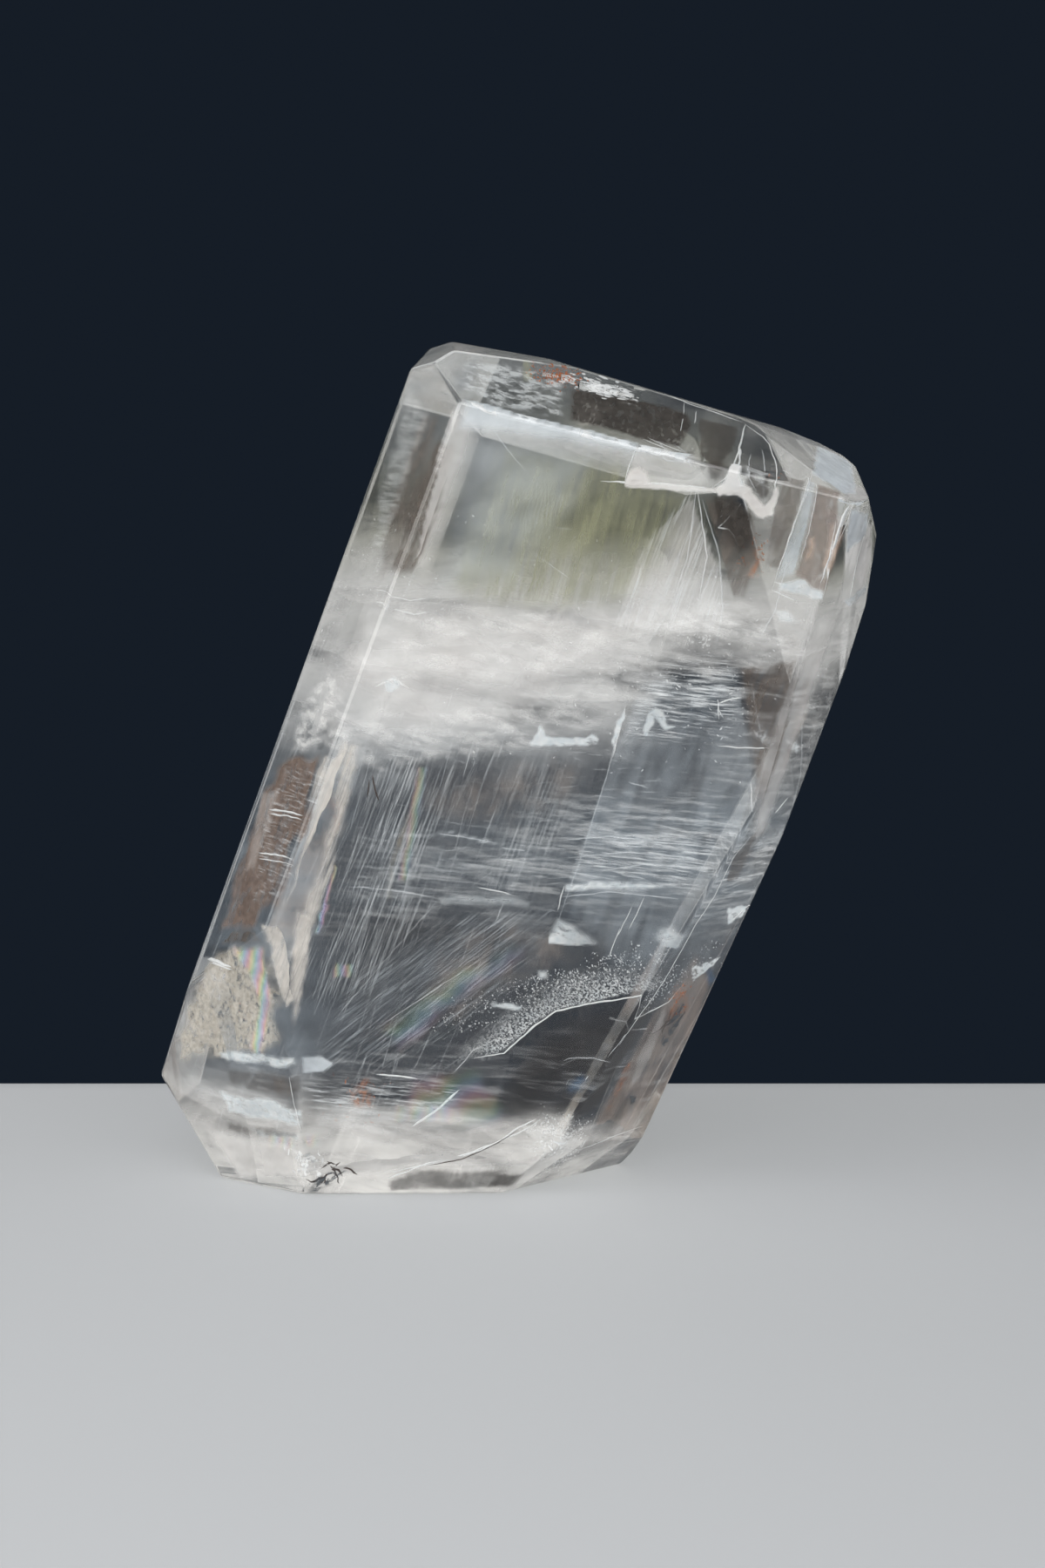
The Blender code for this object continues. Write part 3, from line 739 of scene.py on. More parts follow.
        "soft": 1, "outline": (-4.5, 8.5, 3, 9.9, 4.3, -0.3, 0.3, -11.1, -2.4, -10, 0.6, -0.8, -1.3, 3.8)},
    "slabBelow": {"centre": (-42.2, -16.5, 10.5), "normal": lowLeftBevel, "finish": "brightFilm",
        "strength": 0.6, "soft": 0.5, "ragged": 0.5, "outline": (-8.6, 0.5, -2.5, 0.1, 6.9, 0.8, 6.8, -0.2,
        -2.7, -1.2)},
    "creamStreaks": {"centre": (-10.7, -24.4, 9.6), "normal": bottomBevel, "finish": "frostStreaks",
        "strength": 0.6, "soft": 1.6, "outline": (-24.1, 5.5, 11.2, 5.3, 19.7, 4.8, 17.8, -5.3, -3.1, -5.1,
        -21.5, -5.4)},
    "baseSmokeLeft": {"centre": (-46.4, -20.5, 18.8), "finish": "smokeStreaks", "strength": 0.9, "soft": 1.6,
        "ragged": 1, "outline": (-8.5, 2.8, 7.4, 2.8, 8.9, -1.6, 1.9, -2.5, -9.8, -1.6)},
    "bruise": {"centre": (7.9, -21.3, 8), "finish": "frostStreaks", "soft": 1.2, "ragged": 0.8,
        "outline": (-3.1, 0.1, -0.4, 4, 2.7, 3.9, 3.3, 0.1, 0, -3.7, -2.5, -4.5)},
    "brick": {"centre": (-1.4, -21.1, 34.1), "finish": "brightFilm", "strength": 0.9, "soft": 0.4,
        "outline": (-2.6, 0.9, 1, 0.6, 2.7, 0.1, 2.6, -0.8, -0.9, -0.5, -2.8, -0.2)},
    "fluff": {"centre": (5, -20.9, 39.6), "finish": "brightFilm", "strength": 0.7, "soft": 1.2,
        "outline": (-1.4, 1.2, 1.1, 1.2, 1.4, -1, -1.1, -1.3)},
    "edgeSmoke": {"centre": (34.6, -23, 53.1), "normal": rightBevel, "finish": "smokeStreaks",
        "strength": 0.8, "ragged": 0.6, "outline": (7.8, 14.5, 11.1, 13.4, 6.4, 1.7, -2.6, -9, -9.9, -15.1,
        -12.3, -11.4, -3.7, -1.5, 3.5, 7.9)},
    "orangeSmear": {"centre": (27.9, -11.6, 32.5), "normal": lowRightBevel, "finish": "ironHaze", "soft": 1.6,
        "ragged": 0.8, "outline": (-3.5, 4.3, 0.7, 4.7, 4, -1.4, 1.2, -5.6, -2.4, -2)},
    "baseBlush": {"centre": (-27, -20.5, 18), "finish": "ironHaze", "strength": 0.8, "soft": 2.2,
        "ragged": 1.2, "outline": (-1, 2.7, 2.1, 3.3, 2.4, -2.6, -1.3, -3.3, -2.2, -0.1)},
    # painted light: a bright frame inside the front face's top and left edges, and a faint glow in its corner
    "glowTop": {"centre": (9.8, -21.5, 133.1), "finish": "paintedCoolGlow", "strength": 0.85, "soft": 2.6,
        "crisp": (0, 1, 2), "outline": (-19.3, 6.7, -5.4, 3.2, 9.4, -0.5, 21.5, -3.6, 21.5, -4.7, 9.4, -2.7,
        -2.4, -0.6, -14.4, 0.8, -20.3, 1.4)},
    "glowLeft": {"centre": (-11.3, -21.1, 124.8), "finish": "palePlumeAndGlow", "strength": 0.5, "soft": 3.4,
        "crisp": (5, 6, 7), "outline": (1.9, 15, 6.8, 13.7, 4.7, 4.7, 0.8, -5.8, -3.1, -14.8, -6.1, -15.1,
        -4, -4.3, -1, 6.2)},
    "cornerGlow": {"centre": (-1.3, -20.5, 120.7), "finish": "paintedCoolGlow", "strength": 0.3, "soft": 8,
        "outline": (-8, 17.8, 17.8, 11.5, 14.8, -0.2, 2.8, -13.8, -15.3, -16.8, -12.2, 1.3)},
    "oliveVeil": {"centre": (8.4, -19.9, 116.6), "finish": "oliveVeil", "soft": 5, "outline": (-11.4, 17.4,
        11, 14.4, 23.9, 7.5, 18.6, -5.2, 10.4, -14.2, -13, -14.2, -22, -9.7, -17.5, 3.9)},
    "darkRight": {"centre": (38.3, -19.3, 114.2), "finish": "smokeStreaks", "strength": 0.8, "soft": 1.6,
        "crisp": (5, 4), "outline": (-5.9, 9.8, 3.1, 6.2, 5.2, -1.4, 1.7, -8.9, -0.3, -8.9, -3.8, 3.2)},
    "slantFrost": {"centre": (-15.2, -20.3, 36.2), "finish": "slantFrost", "strength": 0.8, "soft": 5,
        "outline": (-21.5, -8.5, -14.6, 4.8, 4.5, 16.4, 24.3, 17.2, 21.3, 6.3, 10.6, -6.1, -6.3, -14.7,
        -18.5, -15.5)},
    "slantHaze": {"centre": (-16.6, -18.5, 39.6), "finish": "blueBreath", "strength": 0.12, "soft": 6,
        "outline": (-12.5, -0.4, 5.9, 11.3, 18.1, 12, 12, 1.2, -6.4, -11.3, -17.2, -12.9)},
    "warmSmoke": {"centre": (-3.4, -19.3, 39.8), "finish": "warmSmoke", "soft": 5, "ragged": 2,
        "outline": (-10.4, 8.8, 10.9, 10.4, 17, 2.6, 4.8, -2.1, -7.4, -11.4, -15, -8.3)},
    "warmSmokeHigh": {"centre": (-2.6, -19.3, 71.8), "finish": "warmSmoke", "strength": 0.8, "soft": 5,
        "ragged": 2, "outline": (-2, 6.1, 17.7, 7.7, 16.2, -4.6, -2, -7.7, -15.7, -4.6, -14.1, 3.1)},
    "rainbowDust": {"centre": (-9.7, -19.7, 36.2), "finish": "rainbowDust", "soft": 3.5, "ragged": 1.5,
        "outline": (-14.8, -6.2, -1, 4.7, 11.2, 9.3, 12.7, 6.2, 2, -1.6, -10.2, -12.5)},
    "rainbowDustLow": {"centre": (-9.9, -19.7, 16.7), "finish": "rainbowDust", "soft": 3.5, "ragged": 1.5,
        "outline": (-11.7, -3.9, -8.6, 5.5, 5.2, 6.3, 9.8, -2.4, 5.2, -5.5)},
    "barUnderPanel": {"centre": (17.3, -21.1, 55.4), "finish": "brightFilm", "strength": 0.85, "soft": 0.5,
        "outline": (-8.6, 0.3, -2.2, 0.9, 5.4, 0.7, 10.7, 0, 5.4, -0.5, -2.2, -0.4, -8.6, -1)},
    "barLeftFaint": {"centre": (-5.2, -20.5, 52.8), "finish": "brightFilm", "strength": 0.35, "soft": 1.4,
        "outline": (-8.8, 0.6, -5.5, 1.6, 4.7, 1.3, 8.5, 0.2, 8.2, -1.5, 0.6, -1.2, -7.8, -0.9)},
    "levelLine": {"centre": (-10, -20.9, 63.8), "finish": "brightFilm", "strength": 0.6, "soft": 0.6,
        "outline": (-11.3, 0.8, -0.6, 1.3, 6.2, -0.3, 11.5, -1.4, 6.2, -1.1, -0.6, 0.5, -11.3, 0.2)},
    # painted light: a bright patch low on the left bevel
    "baseBright": {"centre": (-44.2, -13.8, 5.3), "normal": lowLeftBevel, "finish": "palePlumeAndGlow",
        "strength": 0.7, "soft": 2, "outline": (-14.5, 4.1, 9.6, 4.5, 10.3, -2.9, -5.8, -5.8)},
    "cloudMass": {"centre": (4.3, -18, 96.6), "finish": "palePlumeAndGlow", "strength": 0.22, "soft": 9, "ragged": 3,
        "outline": (-32.9, 13.1, -8.8, 13.1, 12.2, 12.3, 46.9, 13.1, 47.8, 1.7, 34.9, 2.5, 12.3, -0.6,
        -2.8, -14.3, -27.1, -18.9, -42.2, -17.3, -40.6, -5.1)},
    "stripArch": {"centre": (46.5, -21.1, 119.3), "finish": "smokeStreaks", "strength": 0.7, "soft": 1,
        "crisp": (1, 2, 4, 5), "outline": (0.2, 8.5, 4.1, 7.8, 1.5, -0.5, -0.6, -8.9, -3.4, -7.9, -1.9, 1)},
    "stripGrey": {"centre": (49, -21.1, 117.8), "finish": "blueBreath", "strength": 0.8, "soft": 1,
        "crisp": (0, 1, 2, 4, 5), "outline": (2, 9.4, 3, 8.5, 1.2, -0.4, -0.8, -8.2, -4, -9.1, -1.4, -0.4)},
    "stripBrown": {"centre": (52.7, -21.1, 116.5), "finish": "clayFilm", "strength": 0.75, "soft": 1,
        "crisp": (1, 4, 5), "outline": (-0.4, 9.5, 2.9, 7.6, 3.6, -0.7, 0.4, -10.2, -4.3, -7.2, -2.4, 1)},
    "stripPink": {"centre": (54.4, -21.5, 114.5), "finish": "peachHazeAndReflection", "outline": (-0.2, 4.5, 1.3, 5.1,
        1.1, -1.5, -0.7, -5.2, -1.6, -3)},
    "stripPinkLow": {"centre": (51.1, -21.5, 114.5), "finish": "peachHazeAndReflection", "outline": (-0.6, 2.1, 1, 2.4,
        0.9, -1.8, -1.3, -2.7)},
    # painted glints: chips that sparkle, laid as bright films
    "sparkle": {"centre": (49.1, -21.5, 107.4), "finish": "brightFilm", "strength": 0.9, "soft": 0.7,
        "ragged": 1.2, "outline": (-4.2, 2, -0.3, 1.4, 3.9, 0.1, 4.1, -1.9, 0.6, -1.8, -4.1, 0.2)},
    "sparkleBelow": {"centre": (46.8, -21.5, 102.7), "finish": "brightFilm", "strength": 0.6, "soft": 1,
        "ragged": 1.2, "outline": (-2.3, 1.7, 0.5, 1.2, 3.1, -1.4, -1.3, -1.5)},
    "sparkleEnd": {"centre": (58.9, -10, 105.2), "normal": rightBevelHigh, "finish": "brightFilm",
        "strength": 0.8, "soft": 0.6, "ragged": 0.8, "outline": (-6, 0.3, 4.7, 1.6, 4.4, -0.5, -3, -1.4)},
    # painted highlights on the high facets at the upper right
    "facetFlare": {"centre": (58.3, -16.9, 117.8), "normal": rightBevelHigh, "finish": "paintedCoolGlow",
        "soft": 1.2, "outline": (-4.1, 4.3, 4.7, 2.7, 5.4, -1.8, -2, -5, -3.9, -0.2)},
    "browSheen": {"centre": (55.6, -11.3, 125.4), "normal": brow, "finish": "paintedCoolGlow", "soft": 1,
        "outline": (7, 8.6, 11.1, 2.1, -3.3, -6.5, -7.5, -5.6, -7, 1.8)},
    "bowlRoot": {"centre": (38.2, -21.5, 126.8), "finish": "brightFilm", "soft": 0.7, "outline": (0.4, 4.2,
        1.3, 2.4, 0.9, 0, 2.1, -2.8, 0.3, -2.2, -3.6, -1.8, -1.6, 0.3)},
    "beigeFoot": {"centre": (-40, -22.6, 41.7), "normal": lowLeftBevel, "finish": "paleCurtain", "soft": 0.8,
        "outline": (-4.3, 7, 3.6, 7.8, 1.7, -6.3, -1.1, -8.6)},
    "orangeBlur": {"centre": (41.7, -20.5, 112.1), "finish": "ironHaze", "strength": 0.7, "soft": 1.4,
        "ragged": 0.8, "outline": (-1.5, -2.2, -0.4, 2.7, 0.7, 3.3, 1.2, -0.4, 0, -3.4)},
    "topBeige": {"centre": (12.1, -14.4, 136.2), "normal": topBevel, "finish": "paleCurtain", "strength": 0.5,
        "soft": 1.4, "outline": (-0.8, 4.8, 1.9, 3.6, 3.6, 0.4, 1.3, -5.3, -3.4, -4, -2.6, 0.7)},
    "topPaleLeft": {"centre": (0.1, -14.1, 140.3), "normal": topBevel, "finish": "frostPatches",
        "strength": 0.85, "soft": 2, "outline": (-6.8, 9.7, 4.1, 7.6, 10.2, 2, 5.3, -10.5, -1.5, -7,
        -11.2, -1.6)},
    # painted glint, olive-green, on the top bevel
    "greenGlint": {"centre": (2, -8.3, 143.2), "normal": topBevel, "finish": "oliveVeil", "strength": 0.9,
        "soft": 1, "outline": (-0.1, 3.8, 2.3, 3.1, 0.2, -3.2, -2.3, -3.6)},
    "triangleTop": {"centre": (28.5, -21.9, 130.5), "finish": "brightFilm", "strength": 0.9, "soft": 0.6,
        "outline": (-2.5, 0.7, -0.5, 1, 2.1, 0.4, 2.4, -0.6, 0.5, -1.1, -1.9, -0.3)},
    "bowl": {"centre": (41.9, -20.9, 127.6), "finish": "frostPatches", "strength": 0.7, "soft": 1.4,
        "outline": (-2.8, 6.4, -0.7, 6.4, 1.4, 4.6, 2.7, 1.1, 3.1, -2.6, 2.1, -5, 0.9, -5.9, -0.7, -3.8,
        -3.1, -2, -2.8, 1)},
    # painted shade: a dark hole
    "holeDark": {"centre": (37.8, -20.1, 118.9), "finish": "paintedShadeStreaks", "strength": 0.95, "soft": 1.3,
        "outline": (-4.6, 5.2, 0.4, 5, 3.6, 1.6, 3.9, -2.6, 1.2, -6, -1.2, -3.2, -3.3, 0.1)},
    "cloudSoftLow": {"centre": (1.1, -20.1, 93.4), "finish": "palePlumeAndGlow", "strength": 0.28, "soft": 7,
        "ragged": 3, "outline": (-30.5, 10.5, -5.7, 12, 24.4, 10.5, 38, 4.4, 24.5, 1.4, 9.4, -4.7,
        -5.7, -13.9, -22.4, -15.4, -32.1, -4.7)},
    "cloudBright": {"centre": (-21.3, -21.3, 90.9), "finish": "brightFilm", "strength": 0.8, "soft": 1,
        "ragged": 0.8, "outline": (-2, 1.2, 0.5, 1.8, 2, 0.1, 0.9, -1.7, -1.4, -1.4)},
    # painted reflection: the cream band of light along the bottom bevel
    "creamBand": {"centre": (-14.6, -24.5, 9.6), "normal": bottomBevel, "finish": "palePlumeAndGlow", "soft": 2,
        "crisp": (8,), "outline": (-21.6, 3.8, -9.8, 5, 3.8, 5.7, 17.5, 5.4, 22.1, 4.3, 19.5, -4.9, -2, -5.2,
        -8.4, -7.1, -21.3, -7.2)},
    "baseSmoke": {"centre": (-10.1, -20.8, 3), "normal": bottomBevel, "finish": "smokeStreaks",
        "strength": 0.5, "soft": 0.8, "crisp": (0, 1, 2, 3), "outline": (-12.4, 0.3, -6.6, 2, 5.4, 2.1,
        14.9, 2.1, 11.7, -1.8, -0.8, -2.3, -12.2, -2.5)},
    # painted shade in the foot of the bottom bevel
    "baseShadeDark": {"centre": (-0.7, -21, 3), "normal": bottomBevel, "finish": "paintedShadeStreaks",
        "strength": 0.7, "soft": 0.7, "outline": (-2.5, 1.5, 4.9, 1.9, 2.2, -1.5, -4.6, -1.9)},
    "crushed": {"centre": (7.2, -23.4, 9), "normal": bottomBevel, "finish": "crushedWhite", "ragged": 0.8,
        "outline": (-0.9, 4.7, 2.6, 6.2, 3.7, 2.6, 1.2, -3.7, -1.4, -5.8, -2.8, -4.1, -2.4, 0.1)},
    "lowMist": {"centre": (-20.3, -20.5, 14.2), "finish": "levelMist", "strength": 0.5, "soft": 3,
        "outline": (-15.7, 3.1, 0.3, 3.1, 15.6, 0.3, 15.6, -2.9, -15.7, -3.5)},
    # painted sheen low on the left bevel, in the level mist's finish
    "lowLeftSheen": {"centre": (-47.3, -13.4, 15.2), "normal": lowLeftBevel, "finish": "levelMist",
        "strength": 0.4, "soft": 2, "outline": (-13.1, 4.6, 4.3, 3.1, 13.3, 2.4, 13.7, -3.6, 3.5, -4.5,
        -7.8, -3.9, -14.5, 2)},
    # painted sheen on the right bevels
    "rightSheen": {"centre": (47, -18.7, 82.6), "normal": rightBevel, "finish": "palePlumeAndGlow", "strength": 0.55,
        "soft": 2.6, "outline": (-0.5, 22.2, 9.6, 21.2, 5.1, 0.9, -0.1, -19.5, -4.5, -22.9, -6.4, -8.9,
        -3, 6.6)},
    "rightSheenHigh": {"centre": (59, -11.3, 110.3), "normal": rightBevelHigh, "finish": "palePlumeAndGlow",
        "strength": 0.5, "soft": 2, "outline": (-11.2, 9.1, 4.8, 6.1, 8.3, -0.5, 3.7, -7.9, -5.2, -7)},
    "peachHigh": {"centre": (47.9, -16.3, 83.9), "normal": rightBevel, "finish": "peachHazeAndReflection", "strength": 0.5,
        "soft": 2.2, "outline": (-2.6, 6.7, 1.5, 11, 3.9, 1.1, 0.3, -8.1, -3, -10.9)},
    "lowSmear": {"centre": (23, -10.3, 21.1), "normal": lowRightBevel, "finish": "warmSmoke", "soft": 1.6,
        "outline": (-5.2, 11.2, 1.1, 15.5, 5.4, 16.5, 5.1, 1.9, 3.1, -14.5, -3.7, -20.5, -5.8, -10.7)},
    "blueSpot": {"centre": (11.3, -19.9, 19.6), "finish": "blueInk", "soft": 3, "ragged": 1,
        "outline": (-2.5, 1, 0.6, 2.9, 2.8, 1, 1.2, -2.4, -2.1, -2.4)},
    "blueCorner": {"centre": (33.7, -8.4, 37.6), "normal": lowRightBevel, "finish": "blueInk", "soft": 1.2,
        "outline": (-3.1, 1.9, -0.3, 2.1, 2.8, -1.3, 0.6, -2.8)},
    "cyanRayLow": {"centre": (-32.5, -20.5, 54.2), "finish": "thinFilmRainbow", "strength": 0.9, "soft": 0.5,
        "outline": (1.2, 5.3, 1.8, 4.7, -1, -5.2, -1.9, -4.9)},
    "orangeRayHigh": {"centre": (-19.6, -20.3, 62.3), "finish": "rayGlow", "strength": 0.8, "soft": 1,
        "outline": (3.5, 13.5, 4.7, 12.9, -1.4, -4.3, -1.7, -9.9, -2.8, -9.6, -2.3, -2.8)},
    "steepPale": {"centre": (-21.3, -20.5, 67.4), "finish": "steepFrost", "soft": 2.6, "outline": (-0.5, 10.9,
        7.6, 12.5, 3.1, 1.4, -1.5, -9.3, -4.9, -12.4, -3.8, -3.2)},
    "webHigh": {"centre": (10.2, -20.5, 120.2), "finish": "oliveVeil", "strength": 0.5, "soft": 5,
        "outline": (-14.7, 4.8, -2.8, 7.8, 9.2, 4.8, 10.8, -1.3, 6.3, -8.8, -8.7, -7.3)},
    "moss": {"centre": (-32.4, -22.5, 4.3), "normal": bottomBevel, "finish": "mossStreaks", "soft": 1.2,
        "ragged": 0.8, "outline": (-4.6, -4.3, -3, -1.1, -0.5, 1, 0, 4.6, 2, 5.2, 4.2, 1.8, 3.1, -0.3,
        0.6, -2.4, -1.9, -4.7)},
    # painted light: a white glow on the bottom bevel
    "whiteGlowFilm": {"centre": (-35.8, -23.1, 6.1), "normal": bottomBevel, "finish": "palePlumeAndGlow",
        "soft": 1.6, "outline": (-3, 0.7, -0.3, 2.8, 2.7, 1.1, 2.2, -1.9, -1.5, -2.7)},
    # painted shade along the slanting cracks
    "slantShade": {"centre": (-20.4, -18.3, 42), "finish": "shade", "strength": 0.55, "soft": 7,
        "outline": (-11.8, -7.5, -7.1, 8, 2.1, 12.7, 15.8, 6.5, 6.6, -4.4, -5.7, -15.3)},
    "topTriangle": {"centre": (27.3, -21.5, 127.7), "finish": "palePlumeAndGlow", "strength": 0.25, "soft": 1.4,
        "crisp": (0, 3, 4, 6, 7), "outline": (-8.3, -2.2, -6.3, 4.7, -0.9, 3.6, 4.2, 2.3, 5.3, -0.4,
        6.6, -2.7, 2.7, -2.8, -3.4, -2.4)},
    "triangleCorner": {"centre": (21.4, -21.9, 127.2), "finish": "palePlumeAndGlow", "crisp": (0, 4),
        "outline": (-2.6, -1.8, -1.7, 1.2, 0.1, 1.8, 1.9, 0.7, 2.2, -1.8)},
    "triangleFoot": {"centre": (27.2, -21.7, 125.1), "finish": "palePlumeAndGlow", "soft": 0.5,
        "crisp": (4, 5, 6, 7), "outline": (-8.4, -0.1, -8.3, 1.1, -1.8, 0.9, 4.2, 0.3, 7.5, -0.1, 7.5, -1,
        2.7, -0.7, -3.3, -0.4)},
    "bowlRim": {"centre": (40.4, -21.7, 124.8), "finish": "palePlumeAndGlow", "soft": 0.3, "outline": (-2.6, 6.5,
        -1.3, 7.3, -0.7, 4.7, -1.7, 2.3, -1.4, 1, 0.4, 0.1, 1.9, -1.9, 2.7, -2.8, 3.6, -1.7, 4.2, 0.2,
        5.2, 0.5, 4.9, -2.5, 3.9, -4.4, 2.4, -5.2, 0.8, -4.3, -0.8, -2.2, -2.1, -1.1, -5.1, -1.3, -6.3, -0.2,
        -4.5, 1.3, -3.5, 3.2)},
    # painted shade in and beside the bowl-shaped break
    "bowlDark": {"centre": (41.8, -20.7, 127.9), "finish": "paintedShadeStreaks", "strength": 0.8, "soft": 0.8,
        "outline": (-2.1, 5.3, -0.3, 5.7, 1.5, 3.9, 2.1, 0, 2.2, -4.5, 1.1, -5.5, -0.5, -3.9, -2.3, -2.4,
        -1.8, 1.2)},
    "besideBowl": {"centre": (34.9, -20.9, 127.5), "finish": "paintedShadeStreaks", "strength": 0.7, "soft": 1,
        "outline": (-2.3, 1.9, 2.1, 1.6, 1.9, -0.3, 0.1, -1.9, -1.7, -1.3)},
    # painted shade: dark strips under the lens and under the slab
    "lensShade": {"centre": (-43.9, -16.2, 19.6), "normal": lowLeftBevel, "finish": "paintedShadeStreaks",
        "strength": 0.6, "soft": 1.2, "outline": (-8.6, 1.3, 0.1, 2.5, 8.6, 2.4, 8.2, -1.2, -0.4, -2.8,
        -8.2, -2.3)},
    "slabShade": {"centre": (-44, -15.1, 10.3), "normal": lowLeftBevel, "finish": "paintedShadeStreaks",
        "strength": 0.6, "outline": (-8.8, 0.7, -0.2, 1.1, 8.8, 1.1, 8.6, -0.2, -0.4, -1.3, -8.3, -1.5)},
    "slab": {"centre": (-44.2, -16.4, 14.3), "normal": lowLeftBevel, "finish": "brightFilm", "soft": 0.6,
        "ragged": 1, "outline": (-10.3, 1.8, -3.3, 1.5, 2.5, 2.4, 9.1, 1.4, 9, -1.5, 3.3, -2.1, -2.4, -1.9,
        -8.2, -1.5)},
    "lensStreak": {"centre": (-44.8, -17.2, 23.8), "normal": lowLeftBevel, "finish": "brightFilm",
        "soft": 0.6, "ragged": 0.8, "outline": (-9.4, 0.4, -1.1, 1.1, 7, 1.2, 10.1, 0.4, 4.8, -1, -3.4, -1.2,
        -8.3, -0.9)},
    # the lens, painted with cool light
    "lens": {"centre": (-34.8, -21.7, 23.8), "finish": "paintedCoolGlow", "strength": 0.9, "soft": 0.8,
        "crisp": (1, 2, 3), "outline": (-2.7, 1.5, 0.8, 1.7, 3.2, 0.1, 1.4, -1.5, -2.6, -1.8)},
    "beigeTriFront": {"centre": (-37.5, -21.5, 40.7), "finish": "paleCurtain", "strength": 0.95, "soft": 1,
        "outline": (-0.9, 11.3, 2.4, 9.4, 1.8, 0.4, -0.1, -8.1, -1.4, -12, -1.8, -1.1)},
    "rightMoss": {"centre": (27.6, -11.6, 28.7), "normal": lowRightBevel, "finish": "mossStreaks",
        "soft": 0.3, "ragged": 0.6, "outline": (0.5, 4.9, -1, 4.1, -1.8, 0.6, -1.8, -3.4, -0.5, -5.1,
        0.6, -3.5, 1.6, -0.4, 2.5, 2.7)},
    "rightMossDot": {"centre": (20.5, -10.8, 15.1), "normal": lowRightBevel, "finish": "mossStreaks",
        "soft": 0.2, "outline": (-1.7, 1.1, 0, 1, 1.6, -0.8, 0.1, -1.3)},
    # painted glare on the lower right bevel
    "rightGlare": {"centre": (23.2, -13.8, 25.6), "normal": lowRightBevel, "finish": "palePlumeAndGlow",
        "strength": 0.35, "soft": 1.2, "outline": (-1.3, 4.1, 0.3, 8.9, 2.2, 6.8, 2.2, -1.3, 1, -8.1,
        -1.6, -8.6, -2.7, -2)},
    # painted shade at the foot of the lower right bevel
    "rightFootGrey": {"centre": (15.4, -11.8, 10.6), "normal": lowRightBevel, "finish": "shade",
        "strength": 0.9, "soft": 1.4, "outline": (-6.3, -5.3, -2.1, 6.5, 1, 9.9, 4.9, 3.5, 3.3, -5.5,
        -0.7, -9.3)},
    "orangeStreak": {"centre": (17.7, -15.4, 18.6), "normal": lowRightBevel, "finish": "ironHaze",
        "strength": 0.9, "soft": 0.8, "outline": (-0.8, 4.9, 1, 6, 2, 1.8, 0.5, -4.2, -0.8, -6.5,
        -1.8, -2.2)},
    "panelTopFrost": {"centre": (30.4, -20.9, 90.2), "finish": "frostStreaks", "strength": 0.8, "soft": 3,
        "outline": (-8.6, 1.5, -4.9, 5.8, 7.2, 7.6, 10.5, 0, 10, -6.1, -4.8, -5.5, -9.4, -3.4)},
    # painted shade over the clear lower part below the vein
    "lowShade": {"centre": (11, -19.1, 24.2), "finish": "shade", "soft": 2.4, "outline": (-17.2, -11.5,
        -11.1, 0.7, -3.4, 7.9, 5.7, 10.4, 14, 11, 11.1, 2.6, 4.3, -9.7, -3.4, -11.5)},
    "lowShadeDeep": {"centre": (10.2, -16.6, 22.1), "finish": "shade", "soft": 2.4, "outline": (-14.9, -9.1,
        -8.7, 1.8, -1.1, 8.1, 12.7, 10.6, 10.3, 4.3, 4.2, -6.7, -2.6, -9.1)},
    "brownStreaks": {"centre": (-39.6, -18.6, 64.1), "normal": leftBevel, "finish": "frostStreaks",
        "strength": 0.4, "soft": 1.2, "outline": (-5.2, 11.9, 7.5, 12.8, 6.3, 0.3, 3.4, -11.1, -4.9, -13.9,
        -7.4, -0.1)},
    "brownPale": {"centre": (-43.7, -12.6, 63.5), "normal": leftBevel, "finish": "palePlumeAndGlow",
        "strength": 0.22, "soft": 1.6, "ragged": 1, "outline": (-3.1, 7.2, 2.3, 8.7, 2.9, 0.9, 0.7, -7.3,
        -2.8, -9.4)},
    "bevelDark": {"centre": (-17.8, -17.2, 123.7), "normal": leftBevel, "finish": "smokeStreaks",
        "strength": 0.8, "soft": 2, "outline": (-0.9, 14.6, 4.8, 14.6, 4.5, 1, 1.5, -11.6, -1.9, -18.1,
        -4.7, -5.9, -3.4, 5.1)},
    "bevelWisps": {"centre": (-19.6, -14.5, 125.9), "normal": leftBevel, "finish": "levelMist",
        "strength": 0.35, "soft": 2, "ragged": 1.2, "outline": (-3.3, 16.7, 5.2, 12.5, 3.8, 1.6, 1.6, -11,
        -2.6, -17.6, -4.7, -2.2)},
    # painted shade: dark streaks on the top bevel
    "topDark": {"centre": (20.6, -14.7, 135.8), "normal": topBevel, "finish": "paintedShadeStreaks", "soft": 0.6,
        "outline": (-8.5, 9.4, -1.8, 7.3, 6.5, 3.7, 10.6, 0.6, 10.3, -2.6, 5, -9.6, -2, -5.9, -7.4, -2.5,
        -12.4, -0.2)},
    "topDarkRight": {"centre": (35.1, -16.1, 131.4), "normal": topBevel, "finish": "paintedShadeStreaks",
        "strength": 0.8, "soft": 0.8, "outline": (-0.5, 8.5, 6.2, 4.4, 2.6, -1.7, -3, -7.6, -5.2, -3.4)},
    # painted shade: the wedge at the foot of the bottom bevel, greyed
    "baseWedge": {"centre": (-10.1, -21.5, 2.8), "normal": bottomBevel, "finish": "shade", "strength": 0.9,
        "soft": 0.6, "crisp": (0, 1, 2, 3), "outline": (-12.4, 0.1, -6.5, 1.7, 5.4, 1.9, 14.6, 1.8,
        11.6, -1.4, -0.7, -1.9, -12.1, -2.1)},
    "cloudVeilRight": {"centre": (36, -20.1, 100.1), "finish": "cottonLace", "strength": 0.7, "soft": 4,
        "ragged": 1.5, "outline": (-16.5, 3.8, -4.5, 5.3, 10.6, 3.8, 15.1, 0.8, 13, -5.3, 4.6, -3.8, -7.4, -3,
        -15, -1.5)},
